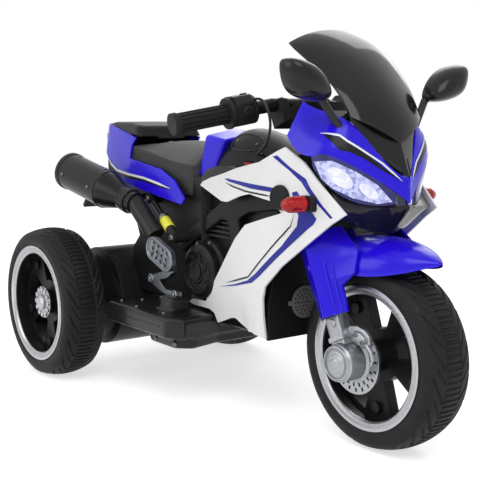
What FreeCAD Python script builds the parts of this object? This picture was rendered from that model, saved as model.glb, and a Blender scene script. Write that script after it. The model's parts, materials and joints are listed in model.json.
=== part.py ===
import FreeCAD, Part
import math
import os
import Sketcher
from FreeCAD import Placement, Rotation, Vector

# Three-wheeled electric ride-on motorbike for children, in millimetres.
# The ground is z = 0, x runs forward, y to the rider's left and z up.
# The origin lies on the ground, midway between the two axles.
# Names that end in _at are distances ahead of the rear axle.

SIZES = {
    # whole machine
    "wheelbase": 700,
    "rear_track_half": 212,
    "rake": 24,
    "overrun": 20,
    "running_fit": 0.05,
    "joint_gap": 0.5,
    "seam": 0.6,
    # tyres, the same on all three wheels
    "tyre_radius": 145,
    "tyre_half_width": 43,
    "bead_half_width": 40,
    "tread_half_width": 37,
    "tread_crown": 7,
    "rib_slot_length": 30,
    "rib_slot_width": 5,
    "rib_slot_depth": 3,
    "rib_slots": 60,
    # rims and their bright trim
    "rim_radius": 112,
    "rim_half_width": 36,
    "rim_wall": 12,
    "spoke_half_width": 10,
    "hub_radius": 24,
    "front_hub_half_length": 55,
    "window_inner_radius": 42,
    "window_outer_radius": 94,
    "window_half_angle": 19,
    "spokes": 5,
    "spoke_boss_radius": 9,
    "spoke_boss_ring": 82,
    "spoke_boss_height": 6,
    "trim_width": 15,
    "trim_thickness": 6,
    "trim_bevel": 3,
    "hubcap_radius": 31,
    "hubcap_height": 9,
    "rear_hub_outer": 22,
    # axles
    "axle_radius": 6,
    "front_axle_half_length": 84,
    "rear_axle_end": 18,
    # rear axle housing and its end cases
    "drum_radius": 98,
    "drum_half_length": 100,
    "drum_wall": 6,
    "bulkhead": 4,
    "case_length": 65,
    "case_flange": 12,
    "case_radius": 86,
    "case_wall": 6,
    "case_boss_radius": 32,
    "case_boss_height": 7,
    "rear_hub_reach": 53,
    # drive
    "gear_module": 2,
    "wheel_gear_teeth": 52,
    "pinion_teeth": 10,
    "gear_width": 14,
    "gear_inset": 14,
    "tooth_share_percent": 40,
    "motor_radius": 18,
    "motor_length": 62,
    "motor_angle": 40,
    "motor_shaft_radius": 2.5,
    "motor_shaft_engage": 20,
    # floor pan and footboards
    "pan_bottom": 112,
    "pan_tray_height": 20,
    "step_height": 36,
    "belly_thickness": 18,
    "pan_rear_at": 150,
    "pan_length": 378,
    "step_half_width": 188,
    "tray_half_width": 170,
    "belly_half_width": 86,
    "peg_block_at": 285,
    "peg_block_length": 45,
    "peg_block_inner": 112,
    "peg_block_width": 38,
    "peg_block_height": 24,
    # central bodies
    "body_half_width": 72,
    "tub_rear_at": 70,
    "tub_length": 260,
    "tub_height": 224,
    "tub_step": 8,
    "deck_rear_at": -85,
    "deck_length": 143,
    "deck_height": 48,
    "deck_half_width": 40,
    "bay_rear_at": 104,
    "bay_length": 178,
    "bay_half_width": 60,
    "bay_depth": 170,
    "core_length": 200,
    # battery and control board
    "battery_length": 151,
    "battery_width": 65,
    "battery_height": 94,
    "battery_terminal": 6,
    "board_thickness": 14,
    "board_width": 90,
    "board_height": 70,
    # engine cover
    "clutch_at": 345,
    "clutch_up": 238,
    "clutch_radius": 55,
    "clutch_depth": 36,
    # frame rails
    "rail_rear_at": 258,
    "rail_length": 362,
    "rail_low": 255,
    "rail_height": 145,
    "rail_width": 16,
    # tank cover, pad and seat
    "tank_length": 152,
    "tank_half_width": 66,
    "tank_height": 84,
    "tank_shoulder": 36,
    "pad_length": 80,
    "pad_height": 86,
    "pad_half_width": 62,
    "seat_rear_at": 60,
    "seat_half_width": 80,
    "seat_height": 60,
    "seat_side_height": 26,
    "cushion_pull": 3,
    # tail
    "tail_front_at": 302,
    "tail_length": 400,
    "tail_low": 345,
    "tail_height": 150,
    "tail_half_width": 96,
    "tail_wall": 4,
    "tail_boss_radius": 7,
    "tail_boss_at": 150,
    "tail_boss_up": 384,
    "backrest_rear_at": -84,
    "backrest_length": 192,
    "backrest_height": 60,
    "backrest_recess_height": 20,
    "backrest_recess_width": 56,
    "backrest_recess_depth": 12,
    "tail_lamp_half_width": 30,
    "tail_lamp_height": 18,
    "tail_lamp_up": 452,
    "tail_lamp_reach": 7,
    "mudguard_length": 98,
    "mudguard_drop": 73,
    "mudguard_half_width": 75,
    # exhaust
    "silencer_end_at": -36,
    "silencer_end_out": 154,
    "silencer_end_up": 398,
    "silencer_front_at": 170,
    "silencer_front_out": 124,
    "silencer_front_up": 345,
    "silencer_radius": 36,
    "pipe_radius": 17,
    "pipe_end_at": 226,
    "pipe_end_out": 116,
    "pipe_end_up": 290,
    "hanger_radius": 6,
    "hanger_at": 116,
    "hanger_up": 352,
    # shock struts
    "strut_top_at": 165,
    "strut_top_out": 86,
    "strut_top_up": 352,
    "strut_foot_at": 288,
    "strut_foot_out": 112,
    "strut_foot_up": 292,
    "strut_rod_radius": 6,
    "strut_body_radius": 9,
    "strut_eye_radius": 9,
    "strut_eye_width": 18,
    # foot pegs
    "peg_inner": 122,
    "peg_thickness": 12,
    "peg_rear_at": 232,
    "peg_length": 90,
    "peg_height": 60,
    "heel_plate_at": 280,
    "heel_plate_up": 264,
    "heel_plate_length": 88,
    "heel_plate_width": 44,
    "heel_plate_thickness": 9,
    "heel_plate_tilt": 20,
    "heel_hole_radius": 3,
    # side fairings
    "fairing_rear_at": 363,
    "fairing_length": 370,
    "fairing_low": 138,
    "fairing_height": 324,
    "fairing_half_width": 116,
    "fairing_wall": 4,
    "fairing_boss_radius": 8,
    # inner cowl and speaker
    "cowl_thickness": 7,
    "cowl_low": 148,
    "cowl_height": 166,
    "cowl_half_width": 97,
    "speaker_out": 22,
    "speaker_up": 205,
    "grille_radius": 27,
    "grille_thickness": 3,
    "grille_hole_radius": 2.1,
    "grille_hole_pitch": 7,
    # nose
    "nose_tip_at": 749,
    "nose_tip_up": 382,
    "nose_length": 142,
    "nose_half_width": 118,
    "nose_height": 149,
    "nose_wall": 4,
    "nose_bulge": 5,
    "lens_depth": 5,
    "reflector_depth": 6,
    # windscreen
    "screen_foot_at": 728,
    "screen_foot_up": 470,
    "screen_length": 136,
    "screen_height": 172,
    "screen_half_width": 89,
    "screen_wall": 3,
    # turn signals
    "signal_at": 649,
    "signal_up": 380,
    "signal_out": 160,
    "signal_length": 41,
    "signal_radius": 13,
    "signal_stalk_radius": 9,
    # mirrors
    "mirror_foot_at": 682,
    "mirror_foot_out": 74,
    "mirror_foot_up": 486,
    "mirror_pivot_at": 672,
    "mirror_pivot_out": 110,
    "mirror_pivot_up": 536,
    "mirror_arm_radius": 6,
    "mirror_pin_radius": 3,
    "mirror_length": 96,
    "mirror_height": 50,
    "mirror_depth": 38,
    # steering head and stem, along the raked axis
    "head_radius": 24,
    "head_low": 215,
    "head_length": 130,
    "stem_radius": 13,
    "bridge_low": 200,
    "bridge_thickness": 13,
    "bridge_half_width": 90,
    "bridge_depth": 44,
    "clamp_low": 396,
    "clamp_thickness": 15,
    "clamp_half_width": 52,
    "clamp_reach": 48,
    "gusset_half_width": 14,
    "nose_arm_half_width": 8,
    # fork
    "leg_inner": 64,
    "leg_width": 20,
    "leg_depth": 28,
    "leg_hub_radius": 29,
    "leg_hub_reach": 37,
    "disc_radius": 52,
    "disc_thickness": 4,
    "disc_inner": 57,
    "disc_land": 4,
    "disc_slot_width": 4,
    "disc_slot_length": 6,
    "disc_slots": 20,
    "cover_low": 70,
    "cover_length": 128,
    "cover_wall": 4,
    "cover_ridge_out": 100,
    "cover_edge_out": 78,
    "cover_valley_out": 86,
    "cover_half_depth": 36,
    "cover_boss_radius": 7,
    "cover_boss_up": 150,
    # front fender
    "fender_rear_at": 622,
    "fender_length": 190,
    "fender_up": 328,
    "fender_drop": 44,
    "fender_half_width": 66,
    "fender_wall": 4,
    "fender_post_radius": 9,
    # handlebar and grips
    "bar_radius": 11,
    "bar_at": 495,
    "bar_up": 526,
    "bar_bend_out": 58,
    "bar_end_at": 466,
    "bar_end_out": 228,
    "bar_end_up": 496,
    "riser_out": 36,
    "riser_width": 18,
    "riser_depth": 30,
    "grip_length": 96,
    "grip_radius": 16,
    "grip_flange_radius": 25,
    "grip_flange": 5,
    "grip_ribs": 14,
    "grip_rib_depth": 1.5,
    "grip_rib_width": 3,
    "housing_length": 42,
    "housing_radius": 23,
    "bar_end_cap": 4,
    # power switch and charge socket
    "switch_at": 436,
    "switch_up": 426,
    "switch_length": 20,
    "switch_height": 10,
    "switch_depth": 8,
    "switch_proud": 3,
    "switch_clearance": 1.2,
    "switch_pin_radius": 1.5,
    "switch_pin_length": 4,
    "socket_at": 170,
    "socket_up": 300,
    "socket_flange_radius": 11,
    "socket_flange": 3,
    "socket_radius": 8,
    "socket_depth": 12,
    "socket_bore_radius": 2.8,
    "socket_bore_depth": 10,
    # throttle cable
    "cable_radius": 2.2,
    "cable_foot_at": 462,
    "cable_foot_up": 447,
    "cable_reach": 84,
    "cable_rise": 92,
    "cable_out": 102,
}

doc = FreeCAD.newDocument("kids_electric_motorbike")
sheet = doc.addObject("Spreadsheet::Sheet", "Sizes")
for row, (name, value) in enumerate(SIZES.items(), start=1):
    sheet.set(f"A{row}", name)
    sheet.set(f"B{row}", str(value))
    sheet.setAlias(f"B{row}", name)
doc.recompute()


class Dim:
    """A size that carries its number and the sheet expression that gives it."""

    def __init__(self, value, text):
        self.value = value
        self.text = text

    def __float__(self):
        return self.value

    def __add__(self, other):
        other = dim(other)
        return Dim(self.value + other.value, f"({self.text} + {other.text})")

    __radd__ = __add__

    def __neg__(self):
        return Dim(-self.value, f"(-{self.text})")

    def __sub__(self, other):
        other = dim(other)
        return Dim(self.value - other.value, f"({self.text} - {other.text})")

    def __rsub__(self, other):
        return dim(other) - self

    def __mul__(self, other):
        other = dim(other)
        return Dim(self.value * other.value, f"({self.text} * {other.text})")

    __rmul__ = __mul__

    def __truediv__(self, other):
        other = dim(other)
        return Dim(self.value / other.value, f"({self.text} / {other.text})")

    def __rtruediv__(self, other):
        return dim(other) / self


def dim(size):
    """Take a plain number or a size, and give a size."""
    if isinstance(size, Dim):
        return size
    return Dim(float(size), repr(float(size)))


def sine(angle):
    return Dim(math.sin(math.radians(float(angle))), f"sin({dim(angle).text})")


def cosine(angle):
    return Dim(math.cos(math.radians(float(angle))), f"cos({dim(angle).text})")


class SheetSizes:
    """Gives each cell of the sheet as a size, by its alias."""

    def __getattr__(self, alias):
        return Dim(float(sheet.get(alias)), f"Sizes.{alias}")


S = SheetSizes()
NODES = {}


def at(station):
    """Turn a distance ahead of the rear axle into an x coordinate."""
    return station - S.wheelbase / 2


def vec(point):
    return Vector(*[float(part) for part in point])


def bind(thing, path, size):
    thing.setExpression(path, dim(size).text)


def place(thing, x=0, y=0, z=0):
    for axis, size in zip("xyz", (x, y, z)):
        bind(thing, f"Placement.Base.{axis}", size)
    return thing


def place_on_fork(thing):
    """Lay a piece that is drawn along the steering axis onto that axis."""
    thing.Placement = Placement(Vector(), Rotation(Vector(0, 1, 0), -float(S.rake)))
    bind(thing, "Placement.Rotation.Angle", -S.rake)
    return place(thing, S.wheelbase / 2, 0, S.tyre_radius)


def on_fork(label, thing):
    """A piece that has its own place along the steering axis, laid onto that axis."""
    return place_on_fork(group(label, [thing]))


def aim(thing, start, end):
    """Point a piece that is drawn up the z axis from one place to another."""
    turn = Rotation(Vector(0, 0, 1), vec(end) - vec(start))
    thing.Placement = Placement(vec(start), turn)
    return thing


def node(label, thing):
    thing.Label = label
    NODES[label] = thing
    return thing


def scaled(origin, spans, shares):
    """Turn shares of a piece's spans into points; a nested pair is an arc."""
    def point(share):
        if isinstance(share[0], tuple):
            return tuple(point(part) for part in share)
        return tuple(start + span * part for start, span, part in zip(origin, spans, share))
    return [point(share) for share in shares]


# Sketches and sketched features


def new_sketch(body, plane, offset=0):
    sketch = body.newObject("Sketcher::SketchObject", body.Name + "_sketch")
    support = [part for part in body.Origin.OriginFeatures if part.Role == plane + "_Plane"][0]
    sketch.AttachmentSupport = (support, [""])
    sketch.MapMode = "FlatFace"
    bind(sketch, "AttachmentOffset.Base.z", offset)
    return sketch


def pin_point(sketch, geometry, end, point):
    """Fix one point of the sketch at two sizes."""
    for kind, size in zip(("DistanceX", "DistanceY"), point):
        size = dim(size)
        index = sketch.addConstraint(Sketcher.Constraint(kind, -1, 1, geometry, end, size.value))
        sketch.setExpression(f"Constraints[{index}]", size.text)


def turns_left(start, middle, end):
    """Whether three places in a sketch run anticlockwise."""
    first, second = vec(middle + (0,)) - vec(start + (0,)), vec(end + (0,)) - vec(middle + (0,))
    return first.cross(second).z > 0


def draw(sketch, path):
    """Draw a closed loop of lines and arcs; an arc is a through point and an end point."""
    start = path[0]
    here = start
    for step in list(path[1:]) + [start]:
        if isinstance(step[0], tuple):
            middle, end = step
            first, last = (here, end) if turns_left(here, middle, end) else (end, here)
            curve = Part.Arc(vec(first + (0,)), vec(middle + (0,)), vec(last + (0,)))
        elif math.dist([float(part) for part in step], [float(part) for part in here]) == 0:
            continue
        else:
            middle, end = None, step
            first, last = here, end
            curve = Part.LineSegment(vec(first + (0,)), vec(last + (0,)))
        index = sketch.addGeometry(curve)
        pin_point(sketch, index, 1, first)
        pin_point(sketch, index, 2, last)
        if middle:
            mark = sketch.addGeometry(Part.Point(vec(middle + (0,))), True)
            pin_point(sketch, mark, 1, middle)
            sketch.addConstraint(Sketcher.Constraint("PointOnObject", mark, 1, index))
        here = end
    return sketch


def draw_circle(sketch, across, up, radius):
    circle = Part.Circle(vec((across, up, 0)), Vector(0, 0, 1), float(radius))
    index = sketch.addGeometry(circle)
    pin_point(sketch, index, 3, (across, up))
    limit = sketch.addConstraint(Sketcher.Constraint("Radius", index, float(radius)))
    sketch.setExpression(f"Constraints[{limit}]", dim(radius).text)
    return sketch


def new_body(label):
    return doc.addObject("PartDesign::Body", label)


def add_pad(body, sketch, length):
    feature = body.newObject("PartDesign::Pad", body.Name + "_pad")
    feature.Profile = sketch
    bind(feature, "Length", length)
    return feature


def add_pocket(body, sketch, depth=None, both=False, outward=False):
    """Cut a sketch into the body: to a depth, or right through."""
    feature = body.newObject("PartDesign::Pocket", body.Name + "_pocket")
    feature.Profile = sketch
    feature.Reversed = outward
    if both:
        feature.Midplane = True
    if depth is None:
        feature.Type = "ThroughAll"
    else:
        bind(feature, "Length", depth)
    return feature


def add_ring_pattern(body, feature, count):
    """Repeat a feature round the body's y axis."""
    pattern = body.newObject("PartDesign::PolarPattern", body.Name + "_pattern")
    axis = [part for part in body.Origin.OriginFeatures if part.Role == "Y_Axis"][0]
    pattern.Originals = [feature]
    pattern.Axis = (axis, [""])
    pattern.Angle = 360
    bind(pattern, "Occurrences", count)
    body.Tip = pattern
    return pattern


def prism(label, plane, path, start, length):
    """One outline on a plane, padded from an offset along the plane's normal."""
    body = new_body(label)
    add_pad(body, draw(new_sketch(body, plane, start), path), length)
    return body


def revolved(label, path):
    """A (y, radius) outline turned round the y axis."""
    body = new_body(label)
    sketch = draw(new_sketch(body, "YZ"), path)
    feature = body.newObject("PartDesign::Revolution", label + "_turn")
    feature.Profile = sketch
    feature.ReferenceAxis = (sketch, ["H_Axis"])
    feature.Angle = 360
    return body


def lofted(label, plane, sections, ruled=False):
    """A loft through (offset, path) sections that lie parallel to a plane."""
    body = new_body(label)
    sketches = [draw(new_sketch(body, plane, offset), path) for offset, path in sections]
    feature = body.newObject("PartDesign::AdditiveLoft", label + "_loft")
    feature.Profile = sketches[0]
    feature.Sections = sketches[1:]
    feature.Ruled = ruled
    return body


# Plain solids and their combinations


def box(label, low, high):
    thing = doc.addObject("Part::Box", label)
    for side, start, end in zip(("Length", "Width", "Height"), low, high):
        bind(thing, side, end - start)
    return place(thing, *low)


def y_cylinder(label, radius, x, z, y_low, y_high):
    thing = doc.addObject("Part::Cylinder", label)
    bind(thing, "Radius", radius)
    bind(thing, "Height", y_high - y_low)
    thing.Placement = Placement(Vector(), Rotation(Vector(1, 0, 0), 90))
    return place(thing, x, y_high, z)


def z_cylinder(label, radius, low, high, x=0, y=0):
    thing = doc.addObject("Part::Cylinder", label)
    bind(thing, "Radius", radius)
    bind(thing, "Height", high - low)
    return place(thing, x, y, low)


def rod(label, radius, start, end):
    """A round bar between two places."""
    thing = doc.addObject("Part::Cylinder", label)
    bind(thing, "Radius", radius)
    thing.Height = (vec(end) - vec(start)).Length
    return aim(thing, start, end)


def ball(label, radius, centre):
    thing = doc.addObject("Part::Sphere", label)
    bind(thing, "Radius", radius)
    return place(thing, *centre)


def fuse(label, things):
    thing = doc.addObject("Part::MultiFuse", label)
    thing.Shapes = things
    return thing


def cut(label, base, *tools):
    """Take tools away from a base, one after the other."""
    for count, tool in enumerate(tools):
        thing = doc.addObject("Part::Cut", f"{label}_{count}")
        thing.Base = base
        thing.Tool = tool
        base = thing
    return base


def common(label, things):
    thing = doc.addObject("Part::MultiCommon", label)
    thing.Shapes = things
    return thing


def mirror(label, source):
    """The same piece on the rider's left."""
    thing = doc.addObject("Part::Mirroring", label)
    thing.Source = source
    thing.Normal = Vector(0, 1, 0)
    return thing


def group(label, things):
    thing = doc.addObject("Part::Compound", label)
    thing.Links = things
    return thing


def both_sides(label, right):
    return group(label, [right, mirror(label + "_far", right)])


def solid(label, shape):
    thing = doc.addObject("Part::Feature", label)
    thing.Shape = shape
    return thing


def smooth_line(points):
    """One smooth curve through places that are spaced evenly along it."""
    curve = Part.BSplineCurve()
    curve.interpolate(Points=[vec(point) for point in points],
                      Parameters=[float(step) for step in range(len(points))])
    return Part.Wire([curve.toShape()])


def sheet_panel(label, lines, wall):
    """A moulded panel: a surface lofted through smooth lines, given its wall."""
    surface = Part.makeLoft([smooth_line(line) for line in lines], False, False)
    return solid(label, surface.Faces[0].extrude(vec(wall)))


# Wheels

TYRE_BULGE_SHARE = 0.42
HALF_SHARE = 0.5


def make_tyre(label, x, y):
    edge = S.tyre_radius - S.tread_crown
    bulge = S.rim_radius + (S.tyre_radius - S.rim_radius) * TYRE_BULGE_SHARE
    body = revolved(label, [
        (-S.bead_half_width, S.rim_radius),
        (S.bead_half_width, S.rim_radius),
        ((S.tyre_half_width, bulge), (S.tread_half_width, edge)),
        ((dim(0), S.tyre_radius), (-S.tread_half_width, edge)),
        ((-S.tyre_half_width, bulge), (-S.bead_half_width, S.rim_radius)),
    ])
    across = S.rib_slot_width / 2
    along = S.rib_slot_length / 2
    slot = new_sketch(body, "XY", S.tyre_radius - S.rib_slot_depth)
    draw(slot, [(-across, -along), (across, -along), (across, along), (-across, along)])
    doc.recompute()
    add_ring_pattern(body, add_pocket(body, slot, outward=True), S.rib_slots)
    return node(label, place(body, x, y, S.tyre_radius))


def make_rim(label, x, y, outer, inner):
    """Barrel, spoked disc and hub; outer and inner are the hub's ends along y."""
    bore = S.axle_radius + S.running_fit
    barrel = S.rim_radius - S.rim_wall
    body = revolved(label, [
        (outer, bore), (inner, bore), (inner, S.hub_radius),
        (S.spoke_half_width, S.hub_radius), (S.spoke_half_width, barrel),
        (S.rim_half_width, barrel), (S.rim_half_width, S.rim_radius),
        (-S.rim_half_width, S.rim_radius), (-S.rim_half_width, barrel),
        (-S.spoke_half_width, barrel), (-S.spoke_half_width, S.hub_radius),
        (outer, S.hub_radius),
    ])
    side, up = sine(S.window_half_angle), cosine(S.window_half_angle)
    low, high = S.window_inner_radius, S.window_outer_radius
    window = draw(new_sketch(body, "XZ"), [
        (-low * side, low * up),
        ((dim(0), low), (low * side, low * up)),
        (high * side, high * up),
        ((dim(0), high), (-high * side, high * up)),
    ])
    doc.recompute()
    add_ring_pattern(body, add_pocket(body, window, both=True), S.spokes)
    turn = 180 / S.spokes
    height = S.spoke_half_width + S.spoke_boss_height
    boss = new_sketch(body, "XZ", -height)
    draw_circle(boss, S.spoke_boss_ring * sine(turn), S.spoke_boss_ring * cosine(turn), S.spoke_boss_radius)
    add_ring_pattern(body, add_pad(body, boss, height * 2), S.spokes)
    return node(label, place(body, x, y, S.tyre_radius))


def make_trim_ring(label, x, y):
    """Bright ring on the right face of a rim."""
    face = -S.rim_half_width - S.trim_thickness
    low = S.rim_radius - S.trim_width
    ring = revolved(label, [
        (-S.rim_half_width, low), (-S.rim_half_width, S.rim_radius),
        (face, S.rim_radius), (face, low + S.trim_bevel), (face + S.trim_bevel, low),
    ])
    return place(ring, x, y, S.tyre_radius)


def make_hubcap(label, x, y):
    """Domed cap over the outer end of a rear hub."""
    seat = -S.rear_hub_outer
    face = seat - S.hubcap_height
    cap = revolved(label, [
        (seat, dim(0)), (seat, S.hubcap_radius), (seat - S.trim_bevel, S.hubcap_radius),
        (face + S.trim_bevel, S.hubcap_radius * HALF_SHARE), (face, S.hubcap_radius * HALF_SHARE),
        (face, dim(0)),
    ])
    return place(cap, x, y, S.tyre_radius)


FRONT_X = S.wheelbase / 2
REAR_X = -S.wheelbase / 2
RIGHT_Y = -S.rear_track_half
CASE_END = S.drum_half_length + S.case_length

make_tyre("front_tyre", FRONT_X, dim(0))
make_rim("front_rim", FRONT_X, dim(0), -S.front_hub_half_length, S.front_hub_half_length)
node("front_trim", both_sides("front_trim", make_trim_ring("front_trim_ring", FRONT_X, dim(0))))

make_tyre("right_tyre", REAR_X, RIGHT_Y)
make_rim("right_rim", REAR_X, RIGHT_Y, -S.rear_hub_outer,
         S.rear_track_half - CASE_END + S.rear_hub_reach)
node("right_trim", group("right_trim", [
    make_trim_ring("right_trim_ring", REAR_X, RIGHT_Y),
    make_hubcap("right_hubcap", REAR_X, RIGHT_Y),
]))
for piece in ("tyre", "rim", "trim"):
    node(f"left_{piece}", mirror(f"left_{piece}", NODES[f"right_{piece}"]))

# Axles

node("front_axle", y_cylinder("front_axle", S.axle_radius, FRONT_X, S.tyre_radius,
                              -S.front_axle_half_length, S.front_axle_half_length))
AXLE_END = S.rear_track_half + S.rear_axle_end
node("rear_axle", y_cylinder("rear_axle", S.axle_radius, REAR_X, S.tyre_radius, -AXLE_END, AXLE_END))

# Rear axle housing: a drum with a bulkhead at each end, and a cup-shaped case beyond each bulkhead

MOTOR_RING = S.gear_module * (S.wheel_gear_teeth + S.pinion_teeth) / 2
MOTOR_X = MOTOR_RING * cosine(S.motor_angle)
MOTOR_UP = MOTOR_RING * sine(S.motor_angle)
BULKHEAD_FACE = S.drum_half_length - S.bulkhead


def make_axle_housing():
    bore = S.axle_radius + S.running_fit
    inside = S.drum_radius - S.drum_wall
    body = revolved("axle_drum", [
        (-S.drum_half_length, bore), (-S.drum_half_length, S.drum_radius),
        (S.drum_half_length, S.drum_radius), (S.drum_half_length, bore),
        (BULKHEAD_FACE, bore), (BULKHEAD_FACE, inside),
        (-BULKHEAD_FACE, inside), (-BULKHEAD_FACE, bore),
    ])
    place(body, REAR_X, 0, S.tyre_radius)
    shaft_hole = y_cylinder("motor_shaft_hole", S.motor_shaft_radius * 2, REAR_X + MOTOR_X,
                            S.tyre_radius + MOTOR_UP, -S.drum_half_length - S.overrun,
                            -S.drum_half_length + S.overrun)
    return node("axle_housing", cut("axle_housing", body, shaft_hole))


def make_end_case():
    """Cup that closes one end of the drum, with a hole for the wheel's hub."""
    flange = -S.drum_half_length - S.case_flange
    face = -CASE_END + S.case_boss_height
    hole = S.hub_radius + S.joint_gap
    inside = S.case_radius - S.case_wall
    body = revolved("end_case", [
        (-S.drum_half_length, inside), (-S.drum_half_length, S.drum_radius),
        (flange, S.drum_radius), (flange - S.case_wall, S.case_radius),
        (face + S.case_wall, S.case_radius), (face, S.case_radius - S.case_wall),
        (face, S.case_boss_radius), (-CASE_END, S.case_boss_radius), (-CASE_END, hole),
        (face + S.case_wall, hole), (face + S.case_wall, inside),
    ])
    return place(body, REAR_X, 0, S.tyre_radius)


make_axle_housing()
node("axle_end_cases", both_sides("axle_end_cases", make_end_case()))

# Drive: a motor behind the right bulkhead, its pinion, and the gear on the right wheel's hub

TOOTH_HEIGHT_SHARE = 0.8
TOOTH_TIP_SHARE = 0.55


def gear_outline(teeth, turn):
    """Outline of a spur gear with straight-sided teeth, in the xz plane."""
    pitch = float(S.gear_module) * teeth / 2
    tip = pitch + float(S.gear_module) * TOOTH_HEIGHT_SHARE
    root = pitch - float(S.gear_module)
    step = 2 * math.pi / teeth
    half = step * float(S.tooth_share_percent) / 200
    points = []
    for tooth in range(teeth):
        middle = turn + tooth * step
        for radius, share in ((root, -1), (tip, -TOOTH_TIP_SHARE), (tip, TOOTH_TIP_SHARE), (root, 1)):
            angle = middle + half * share
            points.append(Vector(radius * math.cos(angle), 0, radius * math.sin(angle)))
    return Part.makePolygon(points + points[:1])


def gear_blank(teeth, turn):
    return Part.Face(gear_outline(teeth, turn)).extrude(Vector(0, float(S.gear_width), 0))


GEAR_Y = -S.drum_half_length - S.gear_inset - S.gear_width
MOTOR_SHAFT_END = -BULKHEAD_FACE + S.motor_shaft_engage


def make_drive():
    mesh_angle = math.radians(float(S.motor_angle))
    wheel_teeth = int(float(S.wheel_gear_teeth))
    pinion_teeth = int(float(S.pinion_teeth))
    half_tooth = math.pi / pinion_teeth
    gear = solid("wheel_gear_blank", gear_blank(wheel_teeth, mesh_angle))
    place(gear, REAR_X, GEAR_Y, S.tyre_radius)
    bore = y_cylinder("wheel_gear_bore", S.hub_radius, REAR_X, S.tyre_radius,
                      GEAR_Y - S.overrun, GEAR_Y + S.gear_width + S.overrun)
    node("drive_gear", cut("drive_gear", gear, bore))
    x, z = REAR_X + MOTOR_X, S.tyre_radius + MOTOR_UP
    pinion = solid("pinion_blank", gear_blank(pinion_teeth, mesh_angle + math.pi + half_tooth))
    place(pinion, x, GEAR_Y, z)
    shaft = y_cylinder("pinion_shaft", S.motor_shaft_radius, x, z, GEAR_Y, MOTOR_SHAFT_END)
    node("motor_pinion", fuse("motor_pinion", [pinion, shaft]))
    can = y_cylinder("motor_can", S.motor_radius, x, z, -BULKHEAD_FACE, -BULKHEAD_FACE + S.motor_length)
    socket = y_cylinder("motor_socket", S.motor_shaft_radius + S.running_fit, x, z,
                        -BULKHEAD_FACE - S.overrun, MOTOR_SHAFT_END + S.joint_gap)
    node("motor", cut("motor", can, socket))


make_drive()

# Floor pan: a tray, the two footboards on it and a block under each foot peg

STEP_TOP = S.pan_bottom + S.pan_tray_height + S.step_height
TRAY_SHARES = [(0, 0.5), (0.28, 0.52), (0.34, 0.96), (0.38, 1), (0.58, 1), (0.64, 0.85), (0.6, 0.48)]
STEP_SHARES = [(0, 0.8), (0.05, 1), (0.58, 1), (0.66, 0.9), (0.62, 0.46)]
BELLY_SHARES = [(0.4, 1), (0.96, 1), (1, 0.86)]


def make_floor_pan():
    """Tray under the footboards, and a thin belly that runs forward from them."""
    def plan(shares, half_width):
        right = [(at(S.pan_rear_at) + S.pan_length * along, -half_width * out) for along, out in shares]
        return right + [(x, -y) for x, y in reversed(right)]

    body = new_body("floor_pan")
    step_low = S.pan_bottom + S.pan_tray_height
    layers = [
        (S.pan_bottom, S.pan_tray_height, plan(TRAY_SHARES, S.tray_half_width)),
        (step_low, S.step_height, plan(STEP_SHARES, S.step_half_width)),
        (STEP_TOP - S.belly_thickness, S.belly_thickness, plan(BELLY_SHARES, S.belly_half_width)),
    ]
    for low, height, outline in layers:
        add_pad(body, draw(new_sketch(body, "XY", low), outline), height)
    blocks = new_sketch(body, "XY", STEP_TOP)
    x = at(S.peg_block_at)
    for side in (-1, 1):
        near, far = S.peg_block_inner * side, (S.peg_block_inner + S.peg_block_width) * side
        draw(blocks, [(x, near), (x + S.peg_block_length, near),
                      (x + S.peg_block_length, far), (x, far)])
    add_pad(body, blocks, S.peg_block_height)
    return node("floor_pan", body)


make_floor_pan()

# Rear tub under the seat, with its battery bay, and the core body ahead of it

CORE_REAR = at(S.tub_rear_at) + S.tub_length
CORE_FRONT = CORE_REAR + S.core_length
TUB_TOP = STEP_TOP + S.tub_height
CORE_TOP = TUB_TOP + S.tub_step
TUB_SHARES = [(0, 0), (0, 0.366), (0.096, 0.478), (0.02, 0.67), (-0.42, 0.91), (-0.42, 1), (0.84, 1)]
DECK_SHARES = [(0, -0.15), (0, 1), (1, 1), (1, 0), (0.315, 0), (0.315, -0.15)]
CORE_SHARES = [(0, 0), (1, 0), (1, 0.97), (0.95, 1), (0, 1)]


def make_rear_tub():
    start = (at(S.tub_rear_at), STEP_TOP)
    path = scaled(start, (S.tub_length, S.tub_height), TUB_SHARES)
    seat_front = path[-1][0]
    path += [(seat_front, CORE_TOP), (CORE_REAR, CORE_TOP), (CORE_REAR, STEP_TOP)]
    tub = prism("tub_body", "XZ", path, -S.body_half_width, S.body_half_width * 2)
    deck_path = scaled((at(S.deck_rear_at), TUB_TOP), (S.deck_length, S.deck_height), DECK_SHARES)
    deck = prism("tub_deck", "XZ", deck_path, -S.deck_half_width, S.deck_half_width * 2)
    drum = y_cylinder("tub_drum_seat", S.drum_radius, REAR_X, S.tyre_radius,
                      -S.body_half_width - S.overrun, S.body_half_width + S.overrun)
    bay_low = TUB_TOP - S.bay_depth
    bay = box("tub_bay", (at(S.bay_rear_at), -S.bay_half_width, bay_low),
              (at(S.bay_rear_at) + S.bay_length, S.bay_half_width, TUB_TOP + S.overrun))
    jack = y_cylinder("tub_jack_hole", S.socket_radius, at(S.socket_at), S.socket_up,
                      S.bay_half_width - S.overrun, S.body_half_width + S.overrun)
    shell = fuse("tub_shell", [tub, deck])
    return node("rear_tub", cut("rear_tub", shell, drum, bay, jack))


def make_core_body():
    path = scaled((CORE_REAR, STEP_TOP), (S.core_length, CORE_TOP - STEP_TOP), CORE_SHARES)
    body = prism("engine_block", "XZ", path, -S.body_half_width, S.body_half_width * 2)
    return node("engine_block", body)


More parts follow.
